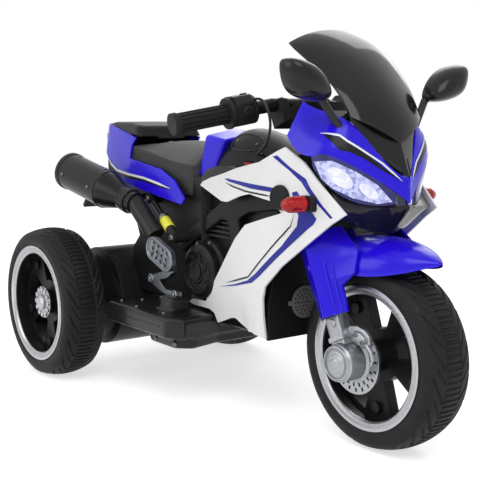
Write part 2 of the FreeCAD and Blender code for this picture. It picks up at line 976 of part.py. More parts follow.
def make_bay_contents():
    floor = TUB_TOP - S.bay_depth
    rear = at(S.bay_rear_at)
    half = S.battery_width / 2
    case = box("battery_case", (rear, -half, floor),
               (rear + S.battery_length, half, floor + S.battery_height))
    tabs = []
    for side in (-1, 1):
        middle = half * HALF_SHARE * side
        x = rear + S.battery_length - S.battery_terminal * 2
        low = floor + S.battery_height
        tabs.append(box(f"battery_tab_{side + 1}", (x, middle, low),
                        (x + S.battery_terminal, middle + S.battery_terminal, low + S.battery_terminal)))
    node("battery", fuse("battery", [case] + tabs))
    front = rear + S.bay_length
    node("control_board", box("control_board", (front - S.board_thickness, -S.board_width / 2, floor),
                              (front, S.board_width / 2, floor + S.board_height)))


def make_charge_socket():
    x, z = at(S.socket_at), S.socket_up
    skin = S.body_half_width
    barrel = y_cylinder("socket_barrel", S.socket_radius, x, z, skin - S.socket_depth, skin)
    flange = y_cylinder("socket_flange", S.socket_flange_radius, x, z, skin, skin + S.socket_flange)
    bore = y_cylinder("socket_bore", S.socket_bore_radius, x, z,
                      skin + S.socket_flange - S.socket_bore_depth, skin + S.socket_flange + S.overrun)
    return node("charge_socket", cut("charge_socket", fuse("socket_body", [barrel, flange]), bore))


make_rear_tub()
make_core_body()
make_bay_contents()
make_charge_socket()

# Engine covers on the core, and the frame rails along it

CLUTCH_SHARES = [(0, 0), (0, 1), (0.35, 1), (0.45, 0.9), (0.8, 0.86), (0.94, 0.72), (0.94, 0.4),
                 (1, 0.36), (1, 0)]
RAIL_SHARES = [(0, 0.12), (0.12, 0.38), (0.39, 0.77), (0.575, 0.93), (0.97, 1), (1, 0.81), (0.78, 0.72),
               (0.59, 0.66), (0.51, 0.57), (0.545, 0.05), (0.475, 0), (0.425, 0.52), (0.37, 0.53),
               (0.12, 0.19), (0.04, 0.05)]


def make_clutch_cover():
    path = [(-S.body_half_width - S.clutch_depth * depth, S.clutch_radius * share)
            for depth, share in CLUTCH_SHARES]
    cover = place(revolved("clutch_bell", path), at(S.clutch_at), 0, S.clutch_up)
    return cut("clutch_cover", cover, NODES["side_fairing_right"])


def make_frame_rail():
    path = scaled((at(S.rail_rear_at), S.rail_low), (S.rail_length, S.rail_height), RAIL_SHARES)
    rail = prism("frame_rail", "XZ", path, S.body_half_width, S.rail_width)
    return cut("frame_rail", rail, NODES["clutch_covers"])


RAIL_FACE = S.body_half_width + S.rail_width

# Tank cover, blue pad behind it, and the seat

TANK_TOP_SHARES = [(-0.2, 0.85), (0.3, 1), (0.65, 0.8), (1, 0.58)]
TANK_WIDTH_SHARES = [0.94, 1, 0.96, 0.8]
TANK_NARROW_SHARE = 0.91
PAD_SHARES = [(0, 0), (0.02, 0.1), (0.25, 0.95), (0.3, 1), (1, 0.9), (0.7, 0.28), (0.66, 0)]
SEAT_STATION_SHARES = [0, 0.22, 0.6, 1]
SEAT_WIDTH_SHARES = [0.76, 0.92, 1, 0.78]
SEAT_TOP_SHARES = [0.94, 1, 0.98, 0.9]

TANK_REAR = at(S.tub_rear_at) + S.tub_length * TUB_SHARES[-1][0] + S.pad_length
SWITCH_X = at(S.switch_at)
SWITCH_Y = -S.tank_half_width * TANK_NARROW_SHARE


def dome(base, half_width, shoulder_width, shoulder, top):
    """A (y, z) section with upright sides and an arched top."""
    return [(half_width, base), (shoulder_width, shoulder),
            ((dim(0), top), (-shoulder_width, shoulder)), (-half_width, base)]


def make_tank_cover():
    sections = []
    for (along, top), width in zip(TANK_TOP_SHARES, TANK_WIDTH_SHARES):
        half = S.tank_half_width * width
        shoulder = CORE_TOP + S.tank_shoulder * top
        sections.append((TANK_REAR + S.tank_length * along,
                         dome(CORE_TOP, half, half * TANK_NARROW_SHARE, shoulder,
                              CORE_TOP + S.tank_height * top)))
    body = lofted("tank_body", "YZ", sections)
    half = S.switch_length / 2 + S.switch_clearance
    rise = S.switch_height / 2 + S.switch_clearance
    well = box("switch_well", (SWITCH_X - half, SWITCH_Y - S.overrun, S.switch_up - rise),
               (SWITCH_X + half, SWITCH_Y + S.switch_depth + S.switch_clearance, S.switch_up + rise))
    pivot = rod("switch_pivot_hole", S.switch_pin_radius + S.running_fit,
                (SWITCH_X - half - S.switch_pin_length, SWITCH_Y + S.switch_depth / 2, S.switch_up),
                (SWITCH_X + half + S.switch_pin_length, SWITCH_Y + S.switch_depth / 2, S.switch_up))
    return node("tank_cover", cut("tank_cover", body, well, pivot, NODES["tank_pad"]))


def make_power_switch():
    """Rocker on a cross pin in a well on the tank's right flank."""
    half, rise = S.switch_length / 2, S.switch_height / 2
    low_y = SWITCH_Y - S.switch_proud
    rocker = box("switch_rocker", (SWITCH_X - half, low_y, S.switch_up - rise),
                 (SWITCH_X + half, SWITCH_Y + S.switch_depth, S.switch_up + rise))
    reach = half + S.switch_clearance + S.switch_pin_length - S.joint_gap
    pin = rod("switch_pin", S.switch_pin_radius,
              (SWITCH_X - reach, SWITCH_Y + S.switch_depth / 2, S.switch_up),
              (SWITCH_X + reach, SWITCH_Y + S.switch_depth / 2, S.switch_up))
    return node("power_switch", fuse("power_switch", [rocker, pin]))


def make_tank_pad():
    start = (TANK_REAR - S.pad_length, CORE_TOP)
    path = scaled(start, (S.pad_length - S.seam, S.pad_height), PAD_SHARES)
    return node("tank_pad", prism("tank_pad", "XZ", path, -S.pad_half_width, S.pad_half_width * 2))


def make_seat():
    length = TANK_REAR - S.pad_length - at(S.seat_rear_at) - S.seam
    sections = []
    for along, width, top in zip(SEAT_STATION_SHARES, SEAT_WIDTH_SHARES, SEAT_TOP_SHARES):
        half = S.seat_half_width * width
        sections.append((at(S.seat_rear_at) + length * along,
                         dome(TUB_TOP, half - S.cushion_pull, half, TUB_TOP + S.seat_side_height * top,
                              TUB_TOP + S.seat_height * top)))
    return node("seat_cushion", lofted("seat_cushion", "YZ", sections))


make_tank_pad()
make_tank_cover()
make_power_switch()
make_seat()

# Tail cover: a hollow U-shaped cover, narrower at the top, trimmed to its side outline

TAIL_PLAN_SHARES = [(0, 1), (0.555, 0.98), (0.855, 0.83)]
TAIL_END_SHARE = 1
TAIL_TOP_PLAN_SHARES = [(0, 0.9), (0.555, 0.74), (0.855, 0.59)]
TAIL_TOP_END_SHARE = 0.975
TAIL_SIDE_SHARES = [(1.02, 1), (0.805, 0.94), (0.63, 0.85), (0.525, 0.8), (0.56, 0.69), (0.565, 0.53),
                    (0.255, 0.43), (0.125, 0.31), (0.03, 0.105), (0.055, 0.03), (0.575, 0.2),
                    (0.68, 0.26), (0.9, 0.62), (1.02, 0.7)]
BACKREST_SHARES = [(0, -0.02), (0.05, 0.8), (0.3, 0.95), (0.44, 1), (0.9, 0.82), (1, 0.26), (0.96, 0.2),
                   (0.745, 0.2), (0.745, -0.02)]


def tail_form(label, wall):
    """The tail's outer form drawn in by a wall, open at the front."""
    def plan(shares, end):
        front = at(S.tail_front_at)
        right = [(front - S.tail_length * along, -S.tail_half_width * out + wall) for along, out in shares]
        right[0] = (right[0][0] + wall, right[0][1])
        left = [(x, -y) for x, y in reversed(right)]
        rear = (front - S.tail_length * end + wall, dim(0))
        return right + [(rear, left[0])] + left[1:]

    return lofted(label, "XY", [
        (S.tail_low, plan(TAIL_PLAN_SHARES, TAIL_END_SHARE)),
        (S.tail_low + S.tail_height, plan(TAIL_TOP_PLAN_SHARES, TAIL_TOP_END_SHARE)),
    ], ruled=True)


def make_tail():
    outer = tail_form("tail_outer", dim(0))
    inner = tail_form("tail_inner", S.tail_wall)
    mirrored = [(1 - along, up) for along, up in TAIL_SIDE_SHARES]
    rear = at(S.tail_front_at) - S.tail_length
    path = scaled((rear, S.tail_low), (S.tail_length, S.tail_height), mirrored)
    reach = S.tail_half_width + S.overrun
    side = prism("tail_side", "XZ", path, -reach, reach * 2)
    shell = common("tail_shell", [cut("tail_hollow", outer, inner), side])
    bosses = []
    for name, low, high in (("right", -S.tail_half_width * TAIL_PLAN_SHARES[1][1], -S.body_half_width),
                            ("left", S.body_half_width, S.tail_half_width * TAIL_PLAN_SHARES[1][1])):
        stub = y_cylinder(f"tail_stub_{name}", S.tail_boss_radius, at(S.tail_boss_at), S.tail_boss_up,
                          low, high)
        bosses.append(common(f"tail_boss_{name}", [stub, outer]))
    node("tail_cover", fuse("tail_cover", [shell] + bosses))

    pad_path = scaled((at(S.backrest_rear_at), TUB_TOP + S.deck_height),
                      (S.backrest_length, S.backrest_height), BACKREST_SHARES)
    pad_path[0] = (pad_path[0][0], TUB_TOP + S.deck_height)
    pad_path[-1] = (pad_path[-1][0], TUB_TOP + S.deck_height)
    pad = prism("backrest_side", "XZ", pad_path, -reach, reach * 2)
    room = tail_form("backrest_room", S.tail_wall + S.seam)
    front = at(S.backrest_rear_at) + S.backrest_length
    half = S.backrest_recess_width / 2
    low = TUB_TOP + S.deck_height + S.backrest_recess_height
    recess = box("backrest_recess", (front - S.backrest_recess_depth, -half, low),
                 (front + S.overrun, half, low + S.backrest_recess_height))
    backrest = cut("backrest", common("backrest_block", [pad, room]), recess)
    node("backrest", backrest)

    lamp = box("tail_lamp_block", (rear - S.tail_lamp_reach, -S.tail_lamp_half_width, S.tail_lamp_up),
               (rear + S.overrun * 2, S.tail_lamp_half_width, S.tail_lamp_up + S.tail_lamp_height))
    return cut("tail_lamp", lamp, outer)


MUDGUARD_SHARES = [(0, 0), (-0.42, 0), (-1, -0.92), (-0.94, -1), (-0.36, -0.13), (0, -0.13)]


def make_mudguard():
    """Sloping flap under the rear deck."""
    x = at(S.deck_rear_at) + S.deck_length * DECK_SHARES[-1][0]
    top = TUB_TOP + S.deck_height * DECK_SHARES[0][1]
    path = scaled((x, top), (S.mudguard_length, S.mudguard_drop), MUDGUARD_SHARES)
    half = S.mudguard_half_width
    return node("rear_mudguard", prism("rear_mudguard", "XZ", path, -half, half * 2))


TAIL_LAMP = make_tail()
make_mudguard()

# Exhaust on the right: silencer, its neck, the pipe to the frame and the hanger to the tub

SILENCER_SHARES = [(0, 0), (0.02, 0), (0.02, 0.8), (0, 0.86), (0, 1), (0.6, 1), (0.64, 0.94), (0.82, 0.6),
                   (1, 0.58), (1, 0)]


def make_exhaust():
    end = (at(S.silencer_end_at), -S.silencer_end_out, S.silencer_end_up)
    neck = (at(S.silencer_front_at), -S.silencer_front_out, S.silencer_front_up)
    foot = (at(S.pipe_end_at), -S.pipe_end_out, S.pipe_end_up)
    length = (vec(neck) - vec(end)).Length
    outline = Part.makePolygon([Vector(float(S.silencer_radius) * out, 0, length * along)
                                for along, out in SILENCER_SHARES + SILENCER_SHARES[:1]])
    can = Part.Face(outline).revolve(Vector(), Vector(0, 0, 1), 360)
    silencer = aim(solid("silencer", can), end, neck)
    pipe = fuse("exhaust_pipe", [ball("pipe_bend", S.pipe_radius, neck),
                                 rod("pipe_run", S.pipe_radius, neck, foot)])
    hanger = y_cylinder("hanger", S.hanger_radius, at(S.hanger_at), S.hanger_up,
                        -S.silencer_front_out, -S.body_half_width)
    return node("exhaust", fuse("exhaust", [silencer, pipe, hanger]))


# Shock struts

STRUT_SPLIT_SHARE = 0.52


def make_strut():
    top = (at(S.strut_top_at), -S.strut_top_out, S.strut_top_up)
    foot = (at(S.strut_foot_at), -S.strut_foot_out, S.strut_foot_up)
    split = tuple(high + (low - high) * STRUT_SPLIT_SHARE for high, low in zip(top, foot))
    eye = S.strut_eye_width / 2
    return fuse("shock_strut", [
        rod("strut_rod", S.strut_rod_radius, top, foot),
        rod("strut_body", S.strut_body_radius, split, foot),
        y_cylinder("strut_top_eye", S.strut_eye_radius, top[0], top[2], top[1] - eye, -S.body_half_width),
        y_cylinder("strut_foot_eye", S.strut_eye_radius, foot[0], foot[2], foot[1] - eye, -RAIL_FACE),
    ])


make_exhaust()
node("shock_struts", both_sides("shock_struts", make_strut()))

# Foot peg sets: a boomerang bracket on its block, and a perforated heel plate

PEG_SHARES = [(0.04, 0.32), (0.1, 0.48), (0.5, 0.66), (0.62, 0.9), (0.74, 1), (0.86, 0.9), (0.84, 0.68),
              (0.66, 0.5), (0.36, 0.38), (0.6, 0.14), (1, 0.14), (1, 0), (0.6, 0), (0.46, 0.04), (0.14, 0.2)]
HEEL_ROWS = 3
HEEL_COLUMNS = 4
HEEL_ROW_SHARE = 0.8
HEEL_PITCH_SHARE = 0.17


def make_foot_peg():
    low = STEP_TOP + S.peg_block_height
    path = scaled((at(S.peg_rear_at), low), (S.peg_length, S.peg_height), PEG_SHARES)
    bracket = prism("peg_bracket", "XZ", path, S.peg_inner, S.peg_thickness)
    plate = new_body("heel_plate")
    face = S.peg_inner + S.peg_thickness
    half, round_end = S.heel_plate_length / 2, S.heel_plate_width / 2
    flat = half - round_end
    outline = draw(new_sketch(plate, "XZ", face), [
        (-flat, -round_end), (flat, -round_end), ((half, dim(0)), (flat, round_end)),
        (-flat, round_end), ((-half, dim(0)), (-flat, -round_end)),
    ])
    add_pad(plate, outline, S.heel_plate_thickness)
    holes = new_sketch(plate, "XZ", face + S.heel_plate_thickness)
    pitch = S.heel_plate_length * HEEL_PITCH_SHARE
    for row in range(HEEL_ROWS):
        for column in range(HEEL_COLUMNS):
            draw_circle(holes, pitch * (column - (HEEL_COLUMNS - 1) / 2),
                        pitch * HEEL_ROW_SHARE * (row - (HEEL_ROWS - 1) / 2), S.heel_hole_radius)
    doc.recompute()
    add_pocket(plate, holes, S.heel_plate_thickness * HALF_SHARE)
    plate.Placement = Placement(Vector(), Rotation(Vector(0, 1, 0), float(S.heel_plate_tilt)))
    bind(plate, "Placement.Rotation.Angle", S.heel_plate_tilt)
    place(plate, at(S.heel_plate_at), 0, S.heel_plate_up)
    return [bracket, plate]


PEG_PIECES = make_foot_peg()
node("foot_peg_sets", group("foot_peg_sets", PEG_PIECES + [
    mirror(f"foot_peg_far_{count}", piece) for count, piece in enumerate(PEG_PIECES)]))

# Side fairings: a curved skin trimmed to a boomerang outline, with bosses to the rails and the belly

FAIRING_STATION_SHARES = [-0.24, 0.1, 0.44, 0.68, 0.9, 1.05]
FAIRING_SKIN_SHARES = [
    (-0.06, (0.74, 0.83, 0.93, 0.9, 0.8, 0.72)),
    (0.4, (0.77, 0.89, 1, 0.96, 0.86, 0.78)),
    (0.74, (0.77, 0.89, 1, 0.97, 0.87, 0.78)),
    (1.06, (0.76, 0.86, 0.95, 0.94, 0.86, 0.78)),
]
FAIRING_OUTLINE_SHARES = [
    (-0.055, 0.774), (-0.027, 0.796), (0.045, 0.82), (0.165, 0.85), (0.285, 0.885), (0.46, 0.923),
    (0.578, 0.98), (0.625, 1), (0.737, 0.932), (0.82, 0.841), (0.886, 0.776), (0.954, 0.709),
    (0.883, 0.659), (0.733, 0.532), (0.615, 0.433), (0.505, 0.316), (0.488, 0.254), (0.487, 0.168),
    (0.496, 0.054), (0.409, 0.062), (0.319, 0.091), (0.263, 0.113), (0.224, 0.105), (0.095, 0.052),
    (0.064, 0.099), (0.018, 0.112), (-0.134, 0.106), (-0.184, 0.114), (-0.147, 0.137), (-0.015, 0.148),
    (0.087, 0.288), (0.279, 0.53), (0.363, 0.607), (0.59, 0.68), (0.615, 0.689), (0.551, 0.74),
    (0.393, 0.763), (0.32, 0.747), (0.202, 0.706), (0.151, 0.707), (0.038, 0.744),
]
FAIRING_BOSS_SHARES = [(0.3, 0.8), (0.62, 0.82)]
BELLY_BOSS_SHARE = (0.38, 0.09)


def fairing_skin(label, wall, depth):
    """The curved flank, drawn in by a wall, as a slab of some depth."""
    lines = []
    for up, outs in FAIRING_SKIN_SHARES:
        lines.append([(at(S.fairing_rear_at) + S.fairing_length * along,
                       -S.fairing_half_width * out + wall,
                       S.fairing_low + S.fairing_height * up)
                      for along, out in zip(FAIRING_STATION_SHARES, outs)])
    return sheet_panel(label, lines, (dim(0), depth, dim(0)))


def make_side_fairing():
    start = (at(S.fairing_rear_at), S.fairing_low)
    spans = (S.fairing_length, S.fairing_height)
    reach = S.fairing_half_width + S.overrun
    outline = prism("fairing_outline", "XZ", scaled(start, spans, FAIRING_OUTLINE_SHARES), dim(0), reach)
    panel = common("fairing_panel", [fairing_skin("fairing_skin", dim(0), S.fairing_wall), outline])
    bosses = []
    seats = [(share, RAIL_FACE) for share in FAIRING_BOSS_SHARES]
    seats.append((BELLY_BOSS_SHARE, S.belly_half_width))
    backing = fairing_skin("fairing_backing", dim(0), S.fairing_half_width)
    for count, (share, face) in enumerate(seats):
        x, z = scaled(start, spans, [share])[0]
        stub = y_cylinder(f"fairing_stub_{count}", S.fairing_boss_radius, x, z, -reach, -face)
        bosses.append(common(f"fairing_boss_{count}", [stub, backing]))
    return fuse("side_fairing_right", [panel] + bosses)


node("side_fairing_right", make_side_fairing())
node("side_fairing_left", mirror("side_fairing_left", NODES["side_fairing_right"]))
node("clutch_covers", both_sides("clutch_covers", make_clutch_cover()))
node("frame_rails", both_sides("frame_rails", make_frame_rail()))

# Inner cowl behind the front wheel, with the speaker grille on it

COWL_SHARES = [(-1, 0), (1, 0), (1, 0.35), (0.86, 0.72), (0.6, 1), (-0.6, 1), (-0.86, 0.72), (-1, 0.35)]


def make_inner_cowl():
    path = scaled((dim(0), S.cowl_low), (S.cowl_half_width, S.cowl_height), COWL_SHARES)
    return node("inner_cowl", prism("inner_cowl", "YZ", path, CORE_FRONT, S.cowl_thickness))


GRILLE_RINGS = 4
GRILLE_SIDES = 6


def make_speaker_grille():
    """Perforated disc with a screw tab on each side."""
    face = CORE_FRONT + S.cowl_thickness
    body = new_body("speaker_grille")
    disc = draw_circle(new_sketch(body, "YZ", face), -S.speaker_out, S.speaker_up, S.grille_radius)
    add_pad(body, disc, S.grille_thickness)
    tabs = new_sketch(body, "YZ", face)
    half, tab = S.grille_radius + S.grille_hole_pitch, S.grille_hole_pitch / 2
    draw(tabs, [(-S.speaker_out - half, S.speaker_up - tab), (-S.speaker_out + half, S.speaker_up - tab),
                (-S.speaker_out + half, S.speaker_up + tab), (-S.speaker_out - half, S.speaker_up + tab)])
    add_pad(body, tabs, S.grille_thickness)
    holes = new_sketch(body, "YZ", face + S.grille_thickness)
    for ring in range(GRILLE_RINGS):
        for step in range(max(1, GRILLE_SIDES * ring)):
            turn = 360 / GRILLE_SIDES * step / max(1, ring)
            draw_circle(holes, S.grille_hole_pitch * ring * math.cos(math.radians(turn)) - S.speaker_out,
                        S.grille_hole_pitch * ring * math.sin(math.radians(turn)) + S.speaker_up,
                        S.grille_hole_radius)
    doc.recompute()
    add_pocket(body, holes)
    return node("speaker_grille", body)


make_inner_cowl()
make_speaker_grille()

# Nose: two flanks that meet in a beak, the black panel between them, lamps and chin

NOSE_UPPER_SHARES = [(0.94, 0.8, 1), (0.66, 0.7, 0.89), (0.39, 0.55, 0.765), (0.17, 0.26, 0.42),
                     (0, 0, 0.255)]
NOSE_LOWER_SHARES = [(1, 1, 0.66), (0.7, 0.99, 0.47), (0.42, 0.84, 0.45), (0.18, 0.44, 0.26), (0, 0, 0)]
PANEL_TOP_SHARES = [(0.4, 0.62, 0.86), (0.285, 0.3, 0.75), (0.17, 0, 0.64)]
PANEL_LOW_SHARES = [(0.385, 0.53, 0.755), (0.175, 0.25, 0.43), (0.02, 0, 0.27)]
LENS_UPPER_SHARES = [(0.655, 0.95, 0.46), (0.4, 0.82, 0.45), (0.19, 0.46, 0.275), (0.06, 0.18, 0.085)]
LENS_LOWER_SHARES = [(0.645, 0.93, 0.35), (0.45, 0.76, 0.11), (0.26, 0.49, -0.01), (0.062, 0.175, -0.005)]
CHIN_TOP_SHARES = [(0.66, 0.93, 0.34), (0.47, 0.76, 0.1), (0.27, 0.5, -0.015), (0.01, 0, -0.02)]
CHIN_EDGE_SHARES = [(0.6, 0.92, 0.1), (0.3, 0.76, -0.07), (0.16, 0.44, -0.06), (0, 0, -0.055)]
CHIN_LOW_SHARES = [(0.62, 0.8, -0.06), (0.42, 0.6, -0.2), (0.3, 0.3, -0.28), (0.24, 0, -0.31)]


def nose_line(shares):
    """Places on the right flank, as shares back, out and up from the tip."""
    return [(at(S.nose_tip_at) - S.nose_length * back, -S.nose_half_width * out,
             S.nose_tip_up + S.nose_height * up) for back, out, up in shares]


def flank_lines():
    """The right flank's upper edge, its swollen middle and its lower edge."""
    upper, lower = nose_line(NOSE_UPPER_SHARES), nose_line(NOSE_LOWER_SHARES)
    swell = [0, 1, 1, HALF_SHARE, 0]
    middle = [((high[0] + low[0]) / 2 + S.nose_bulge * part * HALF_SHARE,
               (high[1] + low[1]) / 2 - S.nose_bulge * part, (high[2] + low[2]) / 2)
              for high, low, part in zip(upper, lower, swell)]
    return [upper, middle, lower]


def nose_strip(label, lines, depth):
    wall = (-depth * HALF_SHARE, depth, -depth * HALF_SHARE)
    return sheet_panel(label, lines, wall)


def halves(label, right):
    """A panel that runs across the middle, from its right half."""
    return fuse(label, [right, mirror(label + "_far", right)])


def make_nose():
    flank = nose_strip("nose_flank", flank_lines(), S.nose_wall)
    node("nose_fairing", halves("nose_fairing", flank))
    panel = nose_strip("nose_panel_half",
                       [nose_line(PANEL_TOP_SHARES), nose_line(PANEL_LOW_SHARES)], S.nose_wall)
    node("nose_panel", cut("nose_panel", halves("nose_panel_v", panel), NODES["nose_fairing"]))
    edges = [nose_line(LENS_UPPER_SHARES), nose_line(LENS_LOWER_SHARES)]
    front = nose_strip("lens_half", edges, S.lens_depth)
    node("headlight_lenses", both_sides("headlight_lenses",
                                        cut("headlight_lens", front, NODES["nose_fairing"])))
    bowl = nose_strip("reflector_block", edges, S.lens_depth + S.reflector_depth)
    bowl = cut("headlight_reflector", bowl, front, NODES["nose_fairing"])
    node("headlight_reflectors", both_sides("headlight_reflectors", bowl))
    upper_lip = nose_strip("chin_lip", [nose_line(CHIN_TOP_SHARES), nose_line(CHIN_EDGE_SHARES)],
                           S.nose_wall)
    beard = nose_strip("chin_beard", [nose_line(CHIN_EDGE_SHARES), nose_line(CHIN_LOW_SHARES)],
                       S.nose_wall)
    chin = halves("chin_shell", fuse("chin_half", [upper_lip, beard]))
    node("chin_panel", cut("chin_panel", chin, NODES["headlight_lenses"],
                           NODES["headlight_reflectors"], NODES["nose_fairing"],
                           NODES["side_fairing_right"], NODES["side_fairing_left"]))


make_nose()

# Windscreen: a bubble lofted through arched lines, with a V-shaped foot

SCREEN_SHARES = [((0.15, 0.82, -0.05), (0.05, 0.42, 0.0), (0, 0, 0.0)),
                 ((0.28, 0.82, 0.3), (0.16, 0.46, 0.31), (0.1, 0, 0.3)),
                 ((0.54, 0.91, 0.55), (0.42, 0.54, 0.565), (0.35, 0, 0.57)),
                 ((0.84, 1, 0.735), (0.69, 0.57, 0.785), (0.63, 0, 0.79)),
                 ((1.11, 1, 0.875), (1.065, 0.5, 0.975), (1.05, 0, 1))]
SCREEN_V_SHARES = [(0, -0.01), (1.2, 0.33), (1.2, -0.4), (-1.2, -0.4), (-1.2, 0.33)]


def make_windscreen():
    lines = []
    for right in SCREEN_SHARES:
        half = [(at(S.screen_foot_at) - S.screen_length * back, -S.screen_half_width * out,
                 S.screen_foot_up + S.screen_height * up) for back, out, up in right]
        lines.append(half + [(x, -y, z) for x, y, z in reversed(half[:-1])])
    bubble = sheet_panel("screen_bubble", lines, (-S.screen_wall, dim(0), -S.screen_wall * HALF_SHARE))
    v_path = scaled((dim(0), S.screen_foot_up), (S.screen_half_width, S.screen_height), SCREEN_V_SHARES)
    rear = at(S.screen_foot_at) - S.screen_length * 2
    trim = prism("screen_trim", "YZ", v_path, rear, S.screen_length * 3)
    return node("windscreen", cut("windscreen", bubble, trim, NODES["nose_fairing"], NODES["nose_panel"]))


make_windscreen()

# Turn signals on the fairings

SIGNAL_SHARES = [(0, 0), (0, 0.8), (0.12, 1), (0.7, 0.92), (0.93, 0.6), (1, 0)]


def make_signal():
    root = -S.signal_out + S.signal_length
    path = [(root - S.signal_length * along, S.signal_radius * out) for along, out in SIGNAL_SHARES]
    lens = place(revolved("signal_lens", path), at(S.signal_at), 0, S.signal_up)
    stub = y_cylinder("signal_stub", S.signal_stalk_radius, at(S.signal_at), S.signal_up, root,
                      -RAIL_FACE)
    outside = cut("signal_stalk", stub, fairing_skin("signal_seat", dim(0), S.fairing_half_width))
    return lens, outside


SIGNAL_LENS, SIGNAL_STALK = make_signal()
node("lamp_lenses", group("lamp_lenses", [SIGNAL_LENS, mirror("signal_lens_far", SIGNAL_LENS), TAIL_LAMP]))
node("signal_stalks", both_sides("signal_stalks", SIGNAL_STALK))

# Mirrors: an arm from the nose, and a head that swivels on the arm's pin

MIRROR_SHARES = [(-0.19, 0.1), (0.094, 0.02), (0.71, 0.18), (0.875, 1), (0.22, 0.92), (-0.06, 0.64)]
MIRROR_CROWN_SHARE = (0.3, 0.46)
MIRROR_CROWN_SIZE_SHARE = 0.46
MIRROR_PIN_SHARE = 0.3
MIRROR_FOOT_SHARE = 1.4


def make_mirror():
    foot = (at(S.mirror_foot_at), -S.mirror_foot_out, S.mirror_foot_up)
    pivot = (at(S.mirror_pivot_at), -S.mirror_pivot_out, S.mirror_pivot_up)
    pin_top = pivot[2] + S.mirror_height * MIRROR_PIN_SHARE
    arm = fuse("mirror_arm_rod", [
        rod("mirror_rod", S.mirror_arm_radius, foot, pivot),
        ball("mirror_foot", S.mirror_arm_radius * MIRROR_FOOT_SHARE, foot),
        z_cylinder("mirror_seat", S.mirror_arm_radius, pivot[2] - S.mirror_arm_radius, pivot[2],
                   pivot[0], pivot[1]),
        z_cylinder("mirror_pin", S.mirror_pin_radius, pivot[2], pin_top, pivot[0], pivot[1]),
    ])
    above = box("mirror_arm_above", (pivot[0] - S.overrun, pivot[1] - S.overrun, pivot[2]),
                (pivot[0] + S.overrun, pivot[1] + S.overrun, pivot[2] + S.overrun))
    pin = z_cylinder("mirror_pin_keep", S.mirror_pin_radius, pivot[2], pin_top, pivot[0], pivot[1])
    arm = fuse("mirror_arm_pin", [cut("mirror_arm_low", arm, above), pin])
    arm = cut("mirror_arm", arm, nose_strip("mirror_root", flank_lines(), S.nose_half_width * HALF_SHARE),
              NODES["nose_fairing"], NODES["nose_panel"], NODES["windscreen"])
    base = (pivot[1], pivot[2] + S.joint_gap)
    spans = (-S.mirror_length, S.mirror_height)
    crown = [tuple(middle + (part - middle) * MIRROR_CROWN_SIZE_SHARE
                   for part, middle in zip(share, MIRROR_CROWN_SHARE)) for share in MIRROR_SHARES]
    back = pivot[0] - S.mirror_depth * MIRROR_PIN_SHARE
    shell = lofted("mirror_shell", "YZ", [(back, scaled(base, spans, MIRROR_SHARES)),
                                          (back + S.mirror_depth, scaled(base, spans, crown))], ruled=True)
    hole = z_cylinder("mirror_hole", S.mirror_pin_radius + S.running_fit, pivot[2] - S.overrun,
                      pin_top + S.joint_gap, pivot[0], pivot[1])
    return arm, cut("mirror_head", shell, hole)


MIRROR_ARM, MIRROR_HEAD = make_mirror()
node("mirror_arms", both_sides("mirror_arms", MIRROR_ARM))
node("mirror_right", MIRROR_HEAD)
node("mirror_left", mirror("mirror_left", MIRROR_HEAD))

# Steering: stem with its fork bridge and top clamp, in the tube of the steering head

BAR_BACK = (at(S.bar_at) - FRONT_X) * cosine(S.rake) + (S.bar_up - S.tyre_radius) * sine(S.rake)
BAR_ALONG = (FRONT_X - at(S.bar_at)) * sine(S.rake) + (S.bar_up - S.tyre_radius) * cosine(S.rake)
CLAMP_TOP = S.clamp_low + S.clamp_thickness


def make_stem():
    half = S.bridge_depth / 2
    pieces = [
        z_cylinder("stem_tube", S.stem_radius, S.bridge_low, CLAMP_TOP),
        box("fork_bridge", (-half, -S.bridge_half_width, S.bridge_low),
            (half, S.bridge_half_width, S.bridge_low + S.bridge_thickness)),
        box("top_clamp", (-S.clamp_reach, -S.clamp_half_width, S.clamp_low),
            (S.stem_radius * 2, S.clamp_half_width, CLAMP_TOP)),
    ]
    for side in (-1, 1):
        near = S.riser_out if side > 0 else -S.riser_out - S.riser_width
        pieces.append(box(f"riser_{side + 1}", (BAR_BACK - S.riser_depth / 2, near, S.clamp_low),
                          (BAR_BACK + S.riser_depth / 2, near + S.riser_width,
                           BAR_ALONG + S.bar_radius * HALF_SHARE)))
    bar_seat = y_cylinder("bar_seat", S.bar_radius, BAR_BACK, BAR_ALONG, -S.bar_bend_out, S.bar_bend_out)
    return node("steering_stem", place_on_fork(cut("steering_stem", fuse("stem_body", pieces), bar_seat)))


